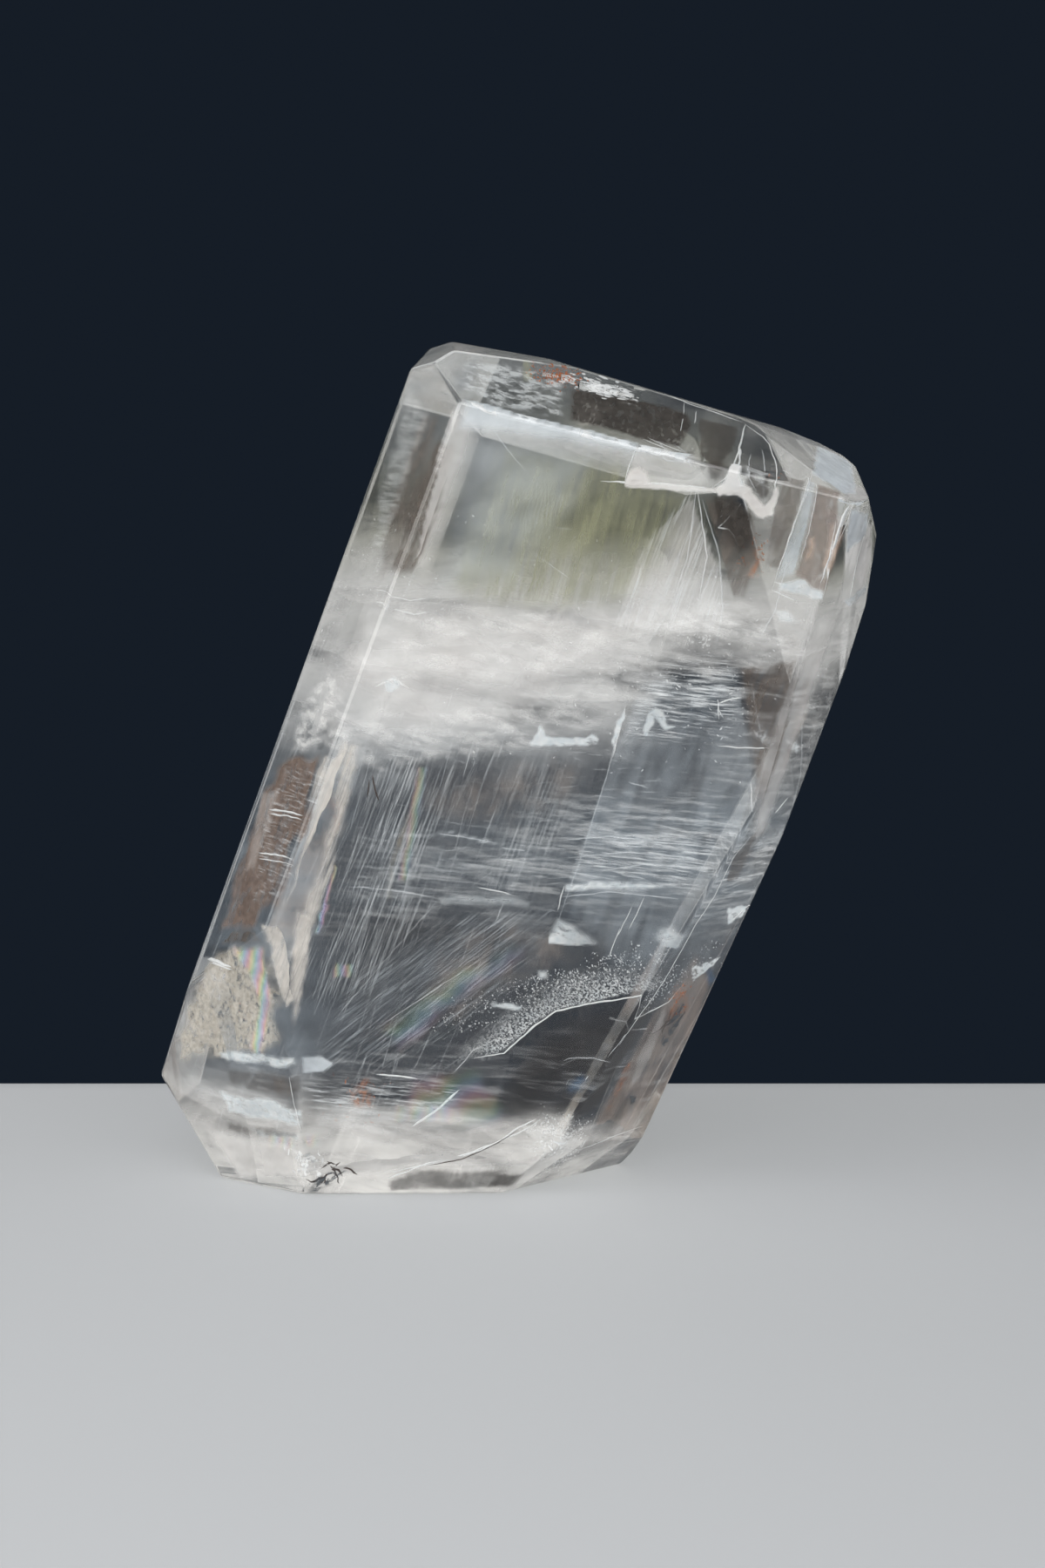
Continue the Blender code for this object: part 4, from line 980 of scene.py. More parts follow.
}


def crackAxes(normal):
    level = normal.cross(Vector((0, 0, 1))).normalized()
    if level.x < 0:
        level = -level
    rise = level.cross(normal).normalized()
    return level, rise if rise.z > 0 else -rise


# mm: the size of a rim's fine and coarse tears, and of a sheet's wide and narrow ripples
tears = (1.3, 4)
ripples = (5, 1.2)


def makeCrack(name, spec):
    spec = {**crackDefaults, **spec}
    normal = Vector(spec["normal"]).normalized()
    level, rise = crackAxes(normal)
    centre = at(*spec["centre"])
    outline = [Vector(corner) for corner in zip(spec["outline"][::2], spec["outline"][1::2])]
    sides = list(zip(outline, outline[1:] + outline[:1]))
    soft, crisp = spec["soft"], spec["crisp"]
    low = [min(c[k] for c in outline) - 0.5 for k in (0, 1)]
    high = [max(c[k] for c in outline) + 0.5 for k in (0, 1)]
    cell = 0.25 if max(high[0] - low[0], high[1] - low[1]) < 20 else 0.5  # mm
    shake = 0.15 if crisp else 0.35  # mm
    sheet = bmesh.new()
    fade = sheet.verts.layers.float.new("fade")
    grid = []
    for j in range(int((high[1] - low[1]) / cell) + 2):
        line = []
        for i in range(int((high[0] - low[0]) / cell) + 2):
            spot = Vector((low[0] + i * cell, low[1] + j * cell))
            place = centre + (level * spot.x + rise * spot.y) * mm
            ragged = noise.noise_vector(place / (tears[0] * mm)) * shake
            ragged += noise.noise_vector(place / (tears[1] * mm)) * spec["ragged"]
            tested = spot + Vector((ragged.x, ragged.y))
            crossings, near, nearCrisp = 0, 99.0, 99.0
            for index, (a, b) in enumerate(sides):
                if (a.y > tested.y) != (b.y > tested.y):
                    if tested.x < a.x + (tested.y - a.y) / (b.y - a.y) * (b.x - a.x):
                        crossings += 1
                edge = b - a
                share = max(0.0, min(1.0, (tested - a).dot(edge) / edge.dot(edge)))
                gap = (tested - a - edge * share).length
                if index in crisp:
                    nearCrisp = min(nearCrisp, gap)
                else:
                    near = min(near, gap)
            wide, narrow = (noise.noise(place / (size * mm)) for size in ripples)
            ripple = wide * 0.9 + narrow * 0.12
            vert = sheet.verts.new(place + normal * (ripple * mm))
            strength = spec["strength"]
            if "highlightCorner" in spec:  # painted highlight: dims away from this corner
                strength *= 1 - 0.8 * ease((spot - Vector(spec["highlightCorner"])).length / spec["highlightFalloff"])
            shown = min(ease(near / soft), ease(nearCrisp / 0.3))
            vert[fade] = strength * shown if crossings % 2 else 0.0
            line.append(vert)
        grid.append(line)
    for lower, upper in zip(grid, grid[1:]):
        for corners in zip(lower, lower[1:], upper[1:], upper):
            if max(corner[fade] for corner in corners) > 0.01:
                sheet.faces.new(corners)
    bmesh.ops.delete(sheet, geom=[v for v in sheet.verts if not v.link_faces], context="VERTS")
    trimInside(sheet, margins["crack"] * mm)
    return finishInner(name, sheet, finishes[spec["finish"]])


for name, spec in crackSpecs.items():
    makeCrack(name + "Crack", spec)
print("cracks laid:", len(crackSpecs))

# fine lines, in mm: the thickness, then X, Y and Z of each point
lineSpecs = {
    "brightEdges": {"finish": "brightEdge", "lines": [
        # the plate under the top right edge
        (0.3, 19, -21.3, 125.9, 19.8, -21.3, 128.8, 20.7, -21.3, 131.4, 26, -21.3, 130.7, 31, -21.4, 128.8),
        (0.5, 14.9, -21.3, 126.1, 19, -21.3, 125.9, 25.4, -21.3, 125.6, 32.9, -21.3, 124.9,
         34.7, -21.3, 124.1),
        (1.1, 19.2, -21.3, 126.2, 21, -21.3, 126.8, 22.8, -21.3, 126.4),
        # the bowl-shaped break beside it
        (0.55, 40.1, -7.9, 133.9, 39.2, -12.7, 131.6, 38.4, -16.8, 129.5, 37.3, -20.8, 127.6,
         36.2, -21.3, 126.5, 33.9, -21.3, 124.9),
        (0.35, 44.9, -21.3, 124.3, 45.1, -17, 127.7, 44.1, -11.9, 130.8, 43.2, -10.3, 131.8,
         40.1, -7.9, 133.9),
        (0.6, 38.9, -15, 130.3, 38.6, -18.5, 128.6, 38.2, -21, 127.2),
        (0.28, 39.1, -19.5, 122.2, 38.2, -19.5, 120.7, 37.2, -19.5, 120.1, 35.2, -19.5, 118,
         36.9, -19.5, 117.7, 37.9, -19.5, 116.6, 38.6, -19.5, 114.7),
        (0.22, 37.2, -19.5, 120.1, 36.3, -19.5, 120.4, 35.4, -19.5, 119.8),
        # short streaks and hooks in the clear part
        (0.25, 41.1, -21.9, 74, 41.2, -21.9, 71.4, 41.3, -21.9, 68.6),
        (0.35, 35.4, -21.9, 87.7, 37.3, -21.9, 88.4, 39.4, -21.9, 88.7),
        (0.3, 35.4, -21.9, 87.6, 35.2, -21.9, 86.4, 35.5, -21.9, 84.8),
        (0.25, 8.7, -21.9, 55.6, 8, -21.9, 53.2, 7.5, -21.9, 51.1),
        (0.5, 16.7, -21.9, 32.2, 17.6, -21.9, 32),
        (0.5, 21.1, -21.9, 31.8, 22, -21.9, 31.5),
        (0.22, 22.7, -21.9, 53.6, 21.2, -21.9, 50.2, 20, -21.9, 47.7),
        (0.22, 18.5, -21.9, 48, 17.3, -21.9, 45.2, 16.4, -21.9, 42.7),
        (0.22, 20.6, -21.9, 52, 19.1, -21.9, 48.9, 17.6, -21.9, 46.1),
        (0.22, 9.1, -21.9, 20, 9.6, -21.9, 20.9),
        (0.22, 11.2, -21.9, 21.5, 11.8, -21.9, 22.2),
        (0.22, 12.5, -21.9, 20.9, 13.1, -21.9, 21.8),
        # painted reflections: edges of the facets behind, seen through the upper right, drawn as bright lines
        (0.22, 52, -21.9, 126.7, 51.9, -21.9, 124.1, 51.5, -21.9, 121.4, 50.5, -21.9, 116.8,
         49.2, -21.9, 111.8),
        (0.3, 51.8, -21.9, 132.1, 51.1, -21.9, 127.7, 48.2, -21.9, 118.7, 46.6, -21.9, 113.9,
         45, -21.9, 109.7),
        (0.22, 58.2, -21.3, 122.9, 57.3, -21.7, 119.1, 56.1, -22.8, 115.2),
        (0.22, 55.4, -21.9, 119.3, 54.7, -21.9, 115.7, 53.7, -21.9, 111.5, 52.6, -21.9, 108.2),
        (0.3, 48, -22.1, 133.7, 47.9, -22.1, 131.8, 48.1, -22.1, 130),
        (0.25, 25.4, -5.6, 139.8, 30.2, -6.9, 137.9, 34.8, -7.5, 136.5, 39.6, -8.5, 134.7),
        (0.22, 29.6, -6.7, 138, 29.2, -11.3, 135.6, 28.4, -16.5, 133),
        (0.22, 31.7, -8.3, 136.6, 31.1, -12, 134.7),
        (0.22, 23.8, -21.9, 136.6, 26.2, -21.9, 134, 29.1, -21.9, 131.5),
        (0.22, 22.6, -21.9, 135.2, 25, -21.9, 132.8, 27.4, -21.9, 130.7),
        # the thin crack in the base, and the seam on the left
        (0.3, -22.8, -21.8, 3.3, -19.1, -22.4, 4.4, -15.6, -23.2, 6, -12.6, -23.6, 6.7),
        (0.35, -9.4, -23.8, 7.2, -5.9, -24.5, 8.5, -3.1, -25.3, 9.9),
        (0.45, -2.5, -25.4, 10.1, 1.1, -26.5, 12.3, 4.5, -27.3, 13.7),
        (0.22, -39.2, -21.9, 21.5, -38.3, -21.9, 16.2, -37.2, -21.9, 11.5),
        (0.22, 10.5, -16.9, 7, 16.5, -10.9, 8.1, 22.7, -4.4, 8.8),
        # painted highlights: the front face's upper edge, and edges on the right, drawn as bright lines
        (0.4, -8.6, -21.3, 139.3, -4.8, -21.1, 137.9, 4.9, -20.9, 135.4, 16.2, -21.1, 132.7,
         26.6, -21.4, 130.2, 31.4, -21.3, 129.3),
        (0.25, 51.2, -17, 126.2, 50.1, -21.3, 123.5, 48.2, -21.3, 119, 46.9, -21.3, 114.8, 45.4, -21.3, 110.4,
         44.4, -21.3, 107),
        (0.25, 57.2, -21.3, 122.8, 55.4, -21.3, 117.5, 53.7, -21.3, 111.5, 52.6, -21.3, 105.4),
        (0.25, 61, -11.4, 119.8, 58.6, -13.7, 112.4, 57.5, -12.6, 104.7),
        (0.55, 44.9, -21, 108.7, 47.3, -21, 108.1, 49.5, -21, 106.9, 52.3, -21, 106),
        (0.35, 44.3, -21, 107.5, 46.5, -21, 106.3, 48.8, -21, 105.4),
        (0.25, 40.7, -19.6, 64.2, 37.7, -20.6, 60.6, 34.4, -19.7, 53.4, 31.4, -20.2, 48.9, 28.4, -20, 43.4,
         25.4, -19.9, 37.9, 20.8, -21, 31.6, 16.2, -21.9, 25.1),
        (0.5, 37.3, -11.7, 47.4, 38.9, -10.9, 48.8, 41, -9.6, 50.5),
        (0.35, 44.8, -15.6, 67.6, 45.9, -14.5, 68.8, 47.2, -13.2, 70.1),
        (0.3, 35.3, -21.3, 80.1, 40.7, -21.3, 79.8, 45.8, -19, 79.5),
        (0.28, 35.7, -4, 86.8, 35.9, -4, 85, 36.7, -4, 83.6),
        # the vein that climbs from the base to the right, and the crack below it
        (0.45, -7.2, -8, 23, -1.9, -8, 23.8, 0.2, -8, 25.7, 3.8, -8, 28.9, 7.4, -8, 31.4, 12.1, -8, 32.5,
         18.7, -8, 33.6, 23.8, -8, 34.6, 26.3, -8, 37),
        (0.45, -21.6, -21.3, 4.3, -16.2, -21.3, 5.4, -10.7, -21.3, 6.7, -3.5, -21.3, 9.4, 1.5, -21.3, 11.7,
         4.8, -21.3, 13.8),
        (0.65, -18.3, -12, 11, -14.1, -12, 13.7, -9.7, -12, 17.8),
        (0.5, -24.4, -14, 20.9, -17.1, -14, 20.1),
        # level bars in the left bevel
        (0.45, -42.3, -12.4, 67.2, -38.9, -16.8, 67.6, -35.9, -20.8, 67.5),
        (0.35, -42.3, -12.8, 66.4, -38.8, -17.2, 66.8, -36.1, -20.9, 66.8),
        (0.45, -44.2, -13.7, 59.7, -41.2, -17.5, 60, -38.4, -21.2, 60.1),
        (0.3, -44.1, -14.2, 58.7, -41.2, -18, 59, -38.5, -21.4, 59.2),
        (0.9, -53.6, -10.8, 40, -51.3, -13.9, 40.2, -49.2, -15.6, 40),
        (0.5, -52.9, -12, 39.5, -51.2, -14, 39.9, -49.2, -15.5, 39.5),
        # short bright streaks in the clear part
        (0.3, -6.4, -10, 54, -0.6, -10, 52.7),
        (0.45, 19.5, -10, 86.2, 18.3, -10, 81.7, 17.2, -10, 77),
        (0.25, -21.7, -14, 105.8, -18.1, -14, 105, -15.3, -14, 105.3),
        (0.45, -21.1, -14, 103.5, -17.3, -14, 102.6, -15, -14, 103),
        (0.6, -24.3, -14, 89.8, -20.9, -14, 91.3, -18.2, -14, 89.5),
        (0.3, 31.6, -12, 124.9, 33.5, -12, 112.7, 31.8, -12, 103.5),
    ]},
    "faintLines": {"finish": "faintNeedles", "lines": [
        (0.28, 8.3, -21.9, 24.2, 9.7, -21.9, 24.8, 11.1, -21.9, 25, 14, -21.9, 24.8, 16.7, -21.9, 24.2),
        (0.3, -3.7, -16, 134.8, -0.7, -16, 130.7, 2.4, -16, 127.1),
        (0.3, 3, -12, 113.4, 7.5, -12, 110.3, 10.3, -12, 108.2),
        (0.35, -13.5, -10, 63.6, -7.8, -10, 62.7, -2.9, -10, 61.8),
        (0.35, -2.3, -10, 61, 2.2, -10, 60.4),
        (0.35, 20, -10, 72.7, 23.6, -10, 71.6),
        (0.45, 3, -10, 38.3, 3.9, -10, 36.7),
        (0.35, 16.5, -12, 30.6, 21.3, -12, 29.8),
        (0.3, 7.8, -12, 22, 10.8, -12, 23.3, 13.9, -12, 23.6, 17.4, -12, 23),
        (0.25, -32.9, 4, 27.6, -23.4, 4, 38.7, -13.1, 4, 50.7),
        (0.25, -24.1, 4, 27.1, -14.1, 4, 33.8, -3.8, 4, 40.8),
        (0.4, 7.6, -8, 62.1, 16.8, -8, 62.9, 27.5, -8, 61.6, 37.5, -8, 60.5),
        (0.35, 9.1, -4, 58.5, 19.9, -4, 59.6, 32.2, -4, 58.5),
        (0.4, 15.2, -10, 56.9, 22.9, -10, 58.1, 36.7, -10, 57.2),
        (0.35, -29.3, -6, 53.6, -21.6, -6, 53, -13.9, -6, 51.7),
        (0.35, 7.6, -6, 51.7, 16.8, -6, 52.7, 29.2, -6, 51.4),
        (0.3, 20.2, 0, 88.5, 16.8, 0, 74.5, 12, 0, 58.9, 7.6, 0, 46.3),
        (0.3, 41.3, 0, 91.6, 44.6, 0, 74.5, 41.9, 0, 62),
        (0.4, 31.6, -10, 124.7, 30.2, -10, 112.5, 27.2, -10, 103.3, 22.9, -10, 96.4),
        (0.4, 32.6, -10, 122.4, 35.7, -10, 112.5, 36.3, -10, 103.3, 34.9, -10, 95.6),
        (0.3, 47.6, -12, 112.6, 45.4, -12, 103.4, 42.4, -12, 97.3),
        (0.3, 24.2, -9.4, 136.3, 26.4, -17, 131.6, 29.9, -20.5, 129.5),
        (0.3, 22.2, -15.1, 133.7, 26.3, -20.7, 129.6, 30.6, -20.5, 129.2),
        (0.3, 42.8, -13.7, 130.1, 43, -20.7, 126.2, 42.8, -21.3, 123.5),
        (0.3, 40.7, -15.7, 129.5, 40, -21.3, 127.3, 41.6, -21.3, 124.3),
        (0.3, -10.8, -17.6, 21.5, -7, -17.6, 25.8, -2.4, -17.6, 28.1),
    ]},
    "darkLines": {"finish": "manganeseDendrite", "lines": [
        (0.5, -24.6, -21.9, 75.1, -24.3, -21.9, 72.9, -23.5, -21.9, 70.5),
        (0.4, -25.2, -21.9, 74.3, -25.5, -21.9, 71.2),
        (0.25, -15.6, -23.4, 5.6, -9.3, -24, 6.8, -3.1, -25.4, 9.6, 1.1, -26.7, 11.9),
    ]},
}
# mm: how far apart the rings of a line are, how it jitters, and how far apart it swells
threadShape = {"step": 0.7, "jitter": 0.14, "jitterSize": 1.6, "swellSize": 2.2}


def addThread(sheet, fade, points, thickness, seed):
    # a thin three-sided splinter along a line, jittered and drawn out to points
    path = []
    for a, b in zip(points, points[1:]):
        steps = max(1, round((b - a).length / (threadShape["step"] * mm)))
        path += [a.lerp(b, k / steps) for k in range(steps)]
    path.append(points[-1])
    rings = []
    for k, place in enumerate(path):
        ahead = (path[min(k + 1, len(path) - 1)] - path[max(k - 1, 0)]).normalized()
        side = ahead.cross(Vector((0, 1, 0)))
        side = side.normalized() if side.length > 0.01 else Vector((1, 0, 0))
        lift = side.cross(ahead)
        share = k / (len(path) - 1)
        shake = noise.noise_vector(place / (threadShape["jitterSize"] * mm) + Vector((seed, 0, 0)))
        place = keepInside(place + shake * threadShape["jitter"] * mm, margins["thread"] * mm)
        ends = min(1.0, 6 * share, 6 * (1 - share)) * 0.9 + 0.1
        swell = abs(noise.noise(place / (threadShape["swellSize"] * mm)))
        wide = thickness / 2 * mm * ends * (0.65 + 0.7 * swell)
        ring = []
        for turn in (0, 120, 240):
            angle = math.radians(turn)
            vert = sheet.verts.new(place + (side * math.cos(angle) + lift * math.sin(angle)) * wide)
            vert[fade] = 1.0
            ring.append(vert)
        rings.append(ring)
    for near, far in zip(rings, rings[1:]):
        for k in range(3):
            sheet.faces.new((near[k], near[(k + 1) % 3], far[(k + 1) % 3], far[k]))
    sheet.faces.new(rings[0][::-1])
    sheet.faces.new(rings[-1])


def makeLines(name, spec):
    sheet = bmesh.new()
    fade = sheet.verts.layers.float.new("fade")
    for index, (thickness, *row) in enumerate(spec["lines"]):
        points = [at(*row[k:k + 3]) for k in range(0, len(row), 3)]
        addThread(sheet, fade, points, thickness, index * 1.3)
    bmesh.ops.recalc_face_normals(sheet, faces=sheet.faces[:])
    return finishInner(name, sheet, finishes[spec["finish"]])


for name, spec in lineSpecs.items():
    makeLines(name, spec)

# dark dendrites, which branch as frost does: lengths in mm
twigStep = 0.8  # mm
twigThickness = 0.5  # mm
dendriteSpecs = {
    "baseDendrite": {"root": (-30.6, -22.0, 6.2), "heading": (-0.6, 0.0, -0.5), "length": 6.5, "seed": 4},
    "baseDendriteLow": {"root": (-31.5, -21.6, 4.6), "heading": (-0.9, 0.0, -0.3), "length": 5.5, "seed": 9},
    "baseDendriteRight": {"root": (-31.5, -21.9, 5.0), "heading": (0.9, 0.0, 0.3), "length": 4.0, "seed": 15},
    "rightDendrite": {"root": (28.6, -11.6, 32.0), "heading": (-0.35, 0.1, -0.93), "length": 8.0, "seed": 12},
    "rightDot": {"root": (20.5, -10.2, 15.4), "heading": (0.1, 0.0, -1.0), "length": 1.4, "seed": 21},
}


def makeDendrite(name, spec):
    dice = random.Random(spec["seed"])
    sheet = bmesh.new()
    fade = sheet.verts.layers.float.new("fade")

    def grow(place, heading, length, thickness, level):
        points = [place]
        while length > 0:
            heading = (heading + Vector([dice.uniform(-0.5, 0.5) for _ in range(3)])).normalized()
            place = keepInside(place + heading * twigStep * mm, margins["twig"] * mm)
            points.append(place)
            length -= twigStep
            if level < 3 and dice.random() < 0.6:
                side = (heading + Vector([dice.uniform(-1.3, 1.3) for _ in range(3)])).normalized()
                grow(place, side, length * dice.uniform(0.35, 0.7), thickness * 0.7, level + 1)
        if len(points) > 1 and (points[-1] - points[0]).length > 0.2 * mm:
            addThread(sheet, fade, points, thickness, dice.random() * 9)

    grow(at(*spec["root"]), Vector(spec["heading"]).normalized(), spec["length"], twigThickness, 0)
    bmesh.ops.recalc_face_normals(sheet, faces=sheet.faces[:])
    return finishInner(name, sheet, finishes["manganeseDendrite"])


for name, spec in dendriteSpecs.items():
    makeDendrite(name, spec)
print("lines and dendrites drawn")


def buildScatterTree():
    # flakes strewn in a slanted box inside the stone, thinned out in patches
    tree = bpy.data.node_groups.new("scatterFlakes", "GeometryNodeTree")
    face = tree.interface
    face.new_socket(name="Stone", in_out="INPUT", socket_type="NodeSocketGeometry")
    for label, kind in (("Count", "Int"), ("Seed", "Int"), ("Centre", "Vector"), ("Size", "Vector"),
                        ("Turn", "Vector"), ("Length", "Float"), ("Width", "Float"), ("Spread", "Vector"),
                        ("Patch", "Vector"), ("Threshold", "Float"), ("Margin", "Float"),
                        ("Material", "Material")):
        face.new_socket(name=label, in_out="INPUT", socket_type="NodeSocket" + kind)
    face.new_socket(name="Flakes", in_out="OUTPUT", socket_type="NodeSocketGeometry")
    given = addNode(tree, "NodeGroupInput").outputs

    def randomVector(offset, low=(-1, -1, -1), high=(1, 1, 1)):
        seed = addNode(tree, "ShaderNodeMath", {1: float(offset)}, {0: given["Seed"]}, operation="ADD")
        value = addNode(tree, "FunctionNodeRandomValue", {0: low, 1: high}, {"Seed": seed.outputs[0]},
                        data_type="FLOAT_VECTOR")
        return value.outputs[0]

    def vectorMath(operation, first, second):
        node = addNode(tree, "ShaderNodeVectorMath", None, {0: first}, operation=operation)
        if isinstance(second, tuple):
            node.inputs[1].default_value = second
        else:
            tree.links.new(second, node.inputs[1])
        return node.outputs["Value"] if operation == "DOT_PRODUCT" else node.outputs[0]

    points = addNode(tree, "GeometryNodePoints", None, {"Count": given["Count"]})
    # two throws added together heap the flakes towards the middle
    thrown = vectorMath("MULTIPLY", vectorMath("ADD", randomVector(1), randomVector(2)), (0.25, 0.25, 0.25))
    inBox = vectorMath("MULTIPLY", thrown, given["Size"])
    turned = addNode(tree, "ShaderNodeVectorRotate", None, {"Vector": inBox, "Rotation": given["Turn"]},
                     rotation_type="EULER_XYZ")
    spot = vectorMath("ADD", turned.outputs[0], given["Centre"])
    placed = addNode(tree, "GeometryNodeSetPosition", None, {"Geometry": points.outputs[0], "Position": spot})
    here = addNode(tree, "GeometryNodeInputPosition").outputs[0]

    # kept where the patches are and where it lies inside the polished faces
    inPatches = vectorMath("DIVIDE", here, given["Patch"])
    drift = vectorMath("MULTIPLY", given["Seed"], (3.1, 1.7, 2.3))
    patches = addNode(tree, "ShaderNodeTexNoise",
                      {"Scale": 1.0, "Detail": 5.0, "Roughness": 0.6, "Distortion": 0.4},
                      {"Vector": vectorMath("ADD", inPatches, drift)})
    chance = addNode(tree, "FunctionNodeRandomValue", {2: -0.06, 3: 0.06}, None, data_type="FLOAT")
    ragged = addNode(tree, "ShaderNodeMath", None, {0: given["Threshold"], 1: chance.outputs[1]},
                     operation="ADD")
    thin = addNode(tree, "FunctionNodeCompare", None, {0: patches.outputs["Fac"], 1: ragged.outputs[0]},
                   operation="LESS_THAN")
    nearest = addNode(tree, "GeometryNodeProximity", None, {0: given["Stone"]}, target_element="FACES")
    normal = addNode(tree, "GeometryNodeInputNormal")
    facing = addNode(tree, "GeometryNodeSampleNearestSurface", None,
                     {"Mesh": given["Stone"], "Value": normal.outputs[0]}, data_type="FLOAT_VECTOR")
    inward = vectorMath("SUBTRACT", nearest.outputs["Position"], here)
    depth = vectorMath("DOT_PRODUCT", inward, facing.outputs[0])
    shallow = addNode(tree, "FunctionNodeCompare", None, {0: depth, 1: given["Margin"]},
                      operation="LESS_THAN")
    dropped = addNode(tree, "FunctionNodeBooleanMath", None, {0: thin.outputs[0], 1: shallow.outputs[0]},
                      operation="OR")
    kept = addNode(tree, "GeometryNodeDeleteGeometry", None,
                   {"Geometry": placed.outputs[0], "Selection": dropped.outputs[0]}, domain="POINT")

    flake = addNode(tree, "GeometryNodeMeshCircle", {"Vertices": 5, "Radius": 0.5}, None, fill_type="NGON")
    lean = vectorMath("MULTIPLY", randomVector(3), given["Spread"])
    leaning = addNode(tree, "FunctionNodeEulerToRotation", None, {0: lean})
    base = addNode(tree, "FunctionNodeEulerToRotation", None, {0: given["Turn"]})
    rotation = addNode(tree, "FunctionNodeRotateRotation", None,
                       {0: leaning.outputs[0], 1: base.outputs[0]}, rotation_space="GLOBAL")
    extent = addNode(tree, "ShaderNodeCombineXYZ", {"Z": 1.0}, {"X": given["Length"], "Y": given["Width"]})
    size = vectorMath("MULTIPLY", extent.outputs[0], randomVector(4, (0.15, 0.3, 1.0), (1.0, 1.0, 1.0)))
    strewn = addNode(tree, "GeometryNodeInstanceOnPoints", None,
                     {"Points": kept.outputs[0], "Instance": flake.outputs[0],
                      "Rotation": rotation.outputs[0], "Scale": size})
    real = addNode(tree, "GeometryNodeRealizeInstances", None, {0: strewn.outputs[0]})
    painted = addNode(tree, "GeometryNodeSetMaterial", None,
                      {"Geometry": real.outputs[0], "Material": given["Material"]})
    addNode(tree, "NodeGroupOutput", None, {0: painted.outputs[0]})
    return tree


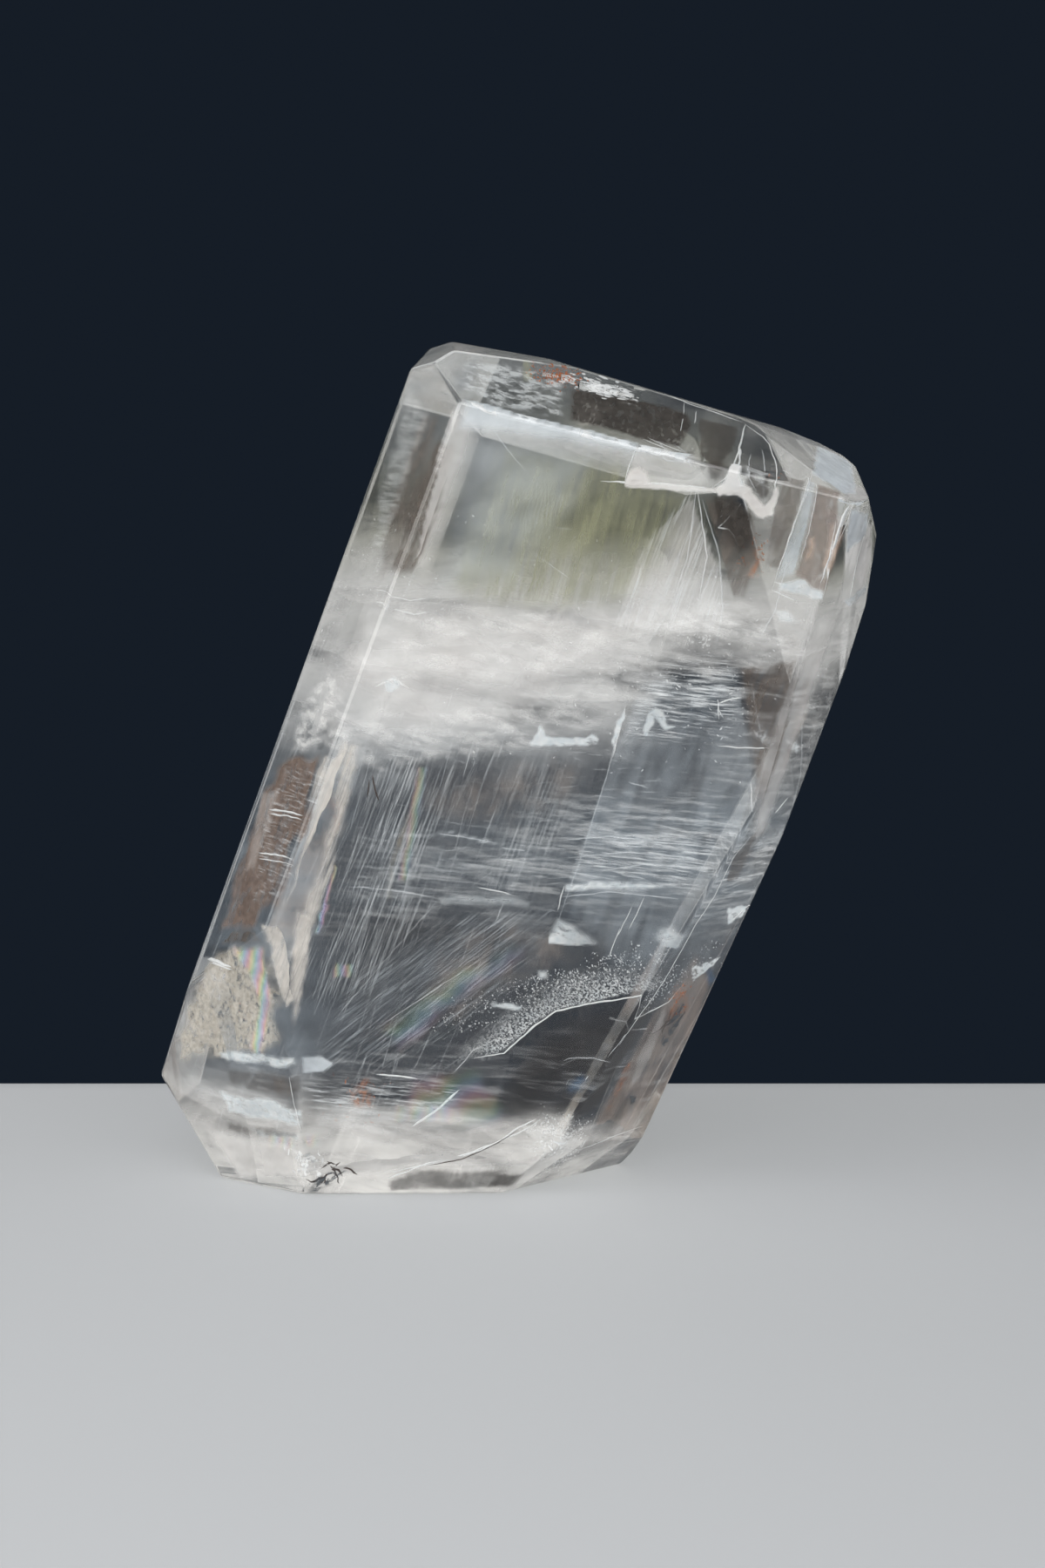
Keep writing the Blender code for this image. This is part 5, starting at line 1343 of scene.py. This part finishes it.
# grains, splinters and needles (mm and degrees): a box turned about its centre, flakes along its X, each
# leaning by up to its spread; strewn in patches above the threshold, a margin away from the facets
flakeDefaults = {"turn": (0, 8, 0), "spread": (90, 90, 90), "margin": 0.8}
boxGrowth = 1.3  # makes up for the flakes' heaping in the middle of the box
flakeSpecs = {
    "cloudGlints": {"finish": "whiteGrains", "count": 2600, "seed": 3, "centre": (0, 0, 97),
        "size": (120, 44, 34), "length": 0.8, "width": 0.35, "spread": (90, 60, 60), "patch": (12, 12, 5),
        "threshold": 0.5},
    "cloudThreads": {"finish": "faintNeedles", "count": 1300, "seed": 5, "centre": (0, 0, 94),
        "size": (120, 44, 40), "turn": (0, 6, 0), "length": 4, "width": 0.2, "spread": (80, 12, 12),
        "patch": (20, 20, 6), "threshold": 0.47},
    "wispThreads": {"finish": "faintNeedles", "count": 1000, "seed": 7, "centre": (20, 0, 62),
        "size": (90, 40, 26), "turn": (0, 4, 0), "length": 5, "width": 0.16, "spread": (80, 10, 10),
        "patch": (16, 20, 4), "threshold": 0.5},
    "steepNeedles": {"finish": "faintNeedles", "count": 1500, "seed": 11, "centre": (-22, 0, 62),
        "size": (90, 40, 44), "turn": (0, -70, 0), "length": 12, "width": 0.2, "spread": (80, 6, 6),
        "patch": (10, 16, 20), "threshold": 0.48},
    "slantNeedles": {"finish": "faintNeedles", "count": 420, "seed": 13, "centre": (-12, 2, 36),
        "size": (60, 40, 40), "turn": (0, -40, 0), "length": 8, "width": 0.14, "spread": (80, 8, 16),
        "patch": (10, 16, 14), "threshold": 0.48},
    "veinGrains": {"finish": "whiteGrains", "count": 1500, "seed": 17, "centre": (10, -3, 36.2),
        "size": (42, 12, 6), "turn": (0, -17, 0), "length": 0.5, "width": 0.35, "patch": (5, 5, 3),
        "threshold": 0.46},
    "rustGrains": {"finish": "ironStain", "count": 500, "seed": 19, "centre": (7, -7, 142), "size": (9, 8, 4),
        "length": 0.8, "width": 0.5, "patch": (2, 2, 2), "threshold": 0.45, "margin": 0.2},
    "rustSpecks": {"finish": "ironStain", "count": 220, "seed": 23, "centre": (-45, -8, 31),
        "size": (9, 8, 9), "length": 0.6, "width": 0.4, "patch": (3, 3, 3), "threshold": 0.55},
    "orangeFuzzHigh": {"finish": "ironStain", "count": 140, "seed": 29, "centre": (42, 0, 112),
        "size": (5, 6, 9), "length": 1, "width": 0.3, "patch": (2, 2, 2), "threshold": 0.52},
    "orangeFuzzLow": {"finish": "ironStain", "count": 160, "seed": 31, "centre": (-27.5, -8, 16.1),
        "size": (10, 6, 8), "length": 1, "width": 0.3, "patch": (2, 2, 2), "threshold": 0.54},
    "crushedZone": {"finish": "whiteGrains", "count": 900, "seed": 37, "centre": (6.6, -16, 8.6),
        "size": (8, 10, 11), "length": 0.7, "width": 0.4, "patch": (3, 3, 3), "threshold": 0.42,
        "margin": 0.3},
    "topFlake": {"finish": "whiteGrains", "count": 500, "seed": 41, "centre": (15.2, -9, 141),
        "size": (11, 5, 4), "turn": (0, 14, 0), "length": 2.2, "width": 0.8, "spread": (70, 20, 20),
        "patch": (4, 4, 2), "threshold": 0.44, "margin": 0.2},
    "rustRight": {"finish": "ironStain", "count": 120, "seed": 53, "centre": (28.2, -13, 33.9),
        "size": (5, 5, 7), "length": 0.8, "width": 0.4, "patch": (2, 2, 2), "threshold": 0.5, "margin": 0.5},
    "specks": {"finish": "whiteGrains", "count": 130, "seed": 43, "centre": (31.4, 2, 97.6),
        "size": (7, 6, 4), "length": 1, "width": 0.5, "patch": (3, 3, 3), "threshold": 0.45},
    # painted light: white grains heaped where the bottom bevel glows
    "whiteGlow": {"finish": "whiteGrains", "count": 260, "seed": 47, "centre": (-37, -21, 5.4),
        "size": (7, 6, 5), "length": 1.6, "width": 0.9, "patch": (3, 3, 3), "threshold": 0.42},
}
scatterTree = buildScatterTree()


def scatterFlakes(name, spec):
    spec = {**flakeDefaults, **spec}
    material = finishes[spec["finish"]]
    carrier = link(bpy.data.objects.new(name + "Carrier", stone.data))
    strewing = carrier.modifiers.new("scatterFlakes", "NODES")
    strewing.node_group = scatterTree
    turn, spread = (Vector([math.radians(angle) for angle in spec[key]]) for key in ("turn", "spread"))
    inputs = {
        "Count": spec["count"], "Seed": spec["seed"], "Centre": at(*spec["centre"]),
        "Size": at(*spec["size"]) * boxGrowth, "Turn": turn, "Spread": spread, "Length": spec["length"] * mm,
        "Width": spec["width"] * mm, "Patch": at(*spec["patch"]), "Threshold": spec["threshold"],
        "Margin": spec["margin"] * mm, "Material": material,
    }
    for socket in scatterTree.interface.items_tree:
        if socket.in_out == "INPUT" and socket.name in inputs:
            strewing[socket.identifier] = inputs[socket.name]
    seen = bpy.context.evaluated_depsgraph_get()
    mesh = bpy.data.meshes.new_from_object(carrier.evaluated_get(seen))
    bpy.data.objects.remove(carrier)
    piece = addPiece(name, mesh, material)
    piece.visible_shadow = False
    return piece


for name, spec in flakeSpecs.items():
    scatterFlakes(name, spec)
print("flakes strewn:", len(flakeSpecs))

# light bounces: enough to see through the stone and its films
scene.cycles.max_bounces = 8
scene.cycles.transmission_bounces = 8
scene.cycles.glossy_bounces = 8
scene.cycles.diffuse_bounces = 1
scene.cycles.transparent_max_bounces = 64
scene.view_settings.view_transform = "Standard"
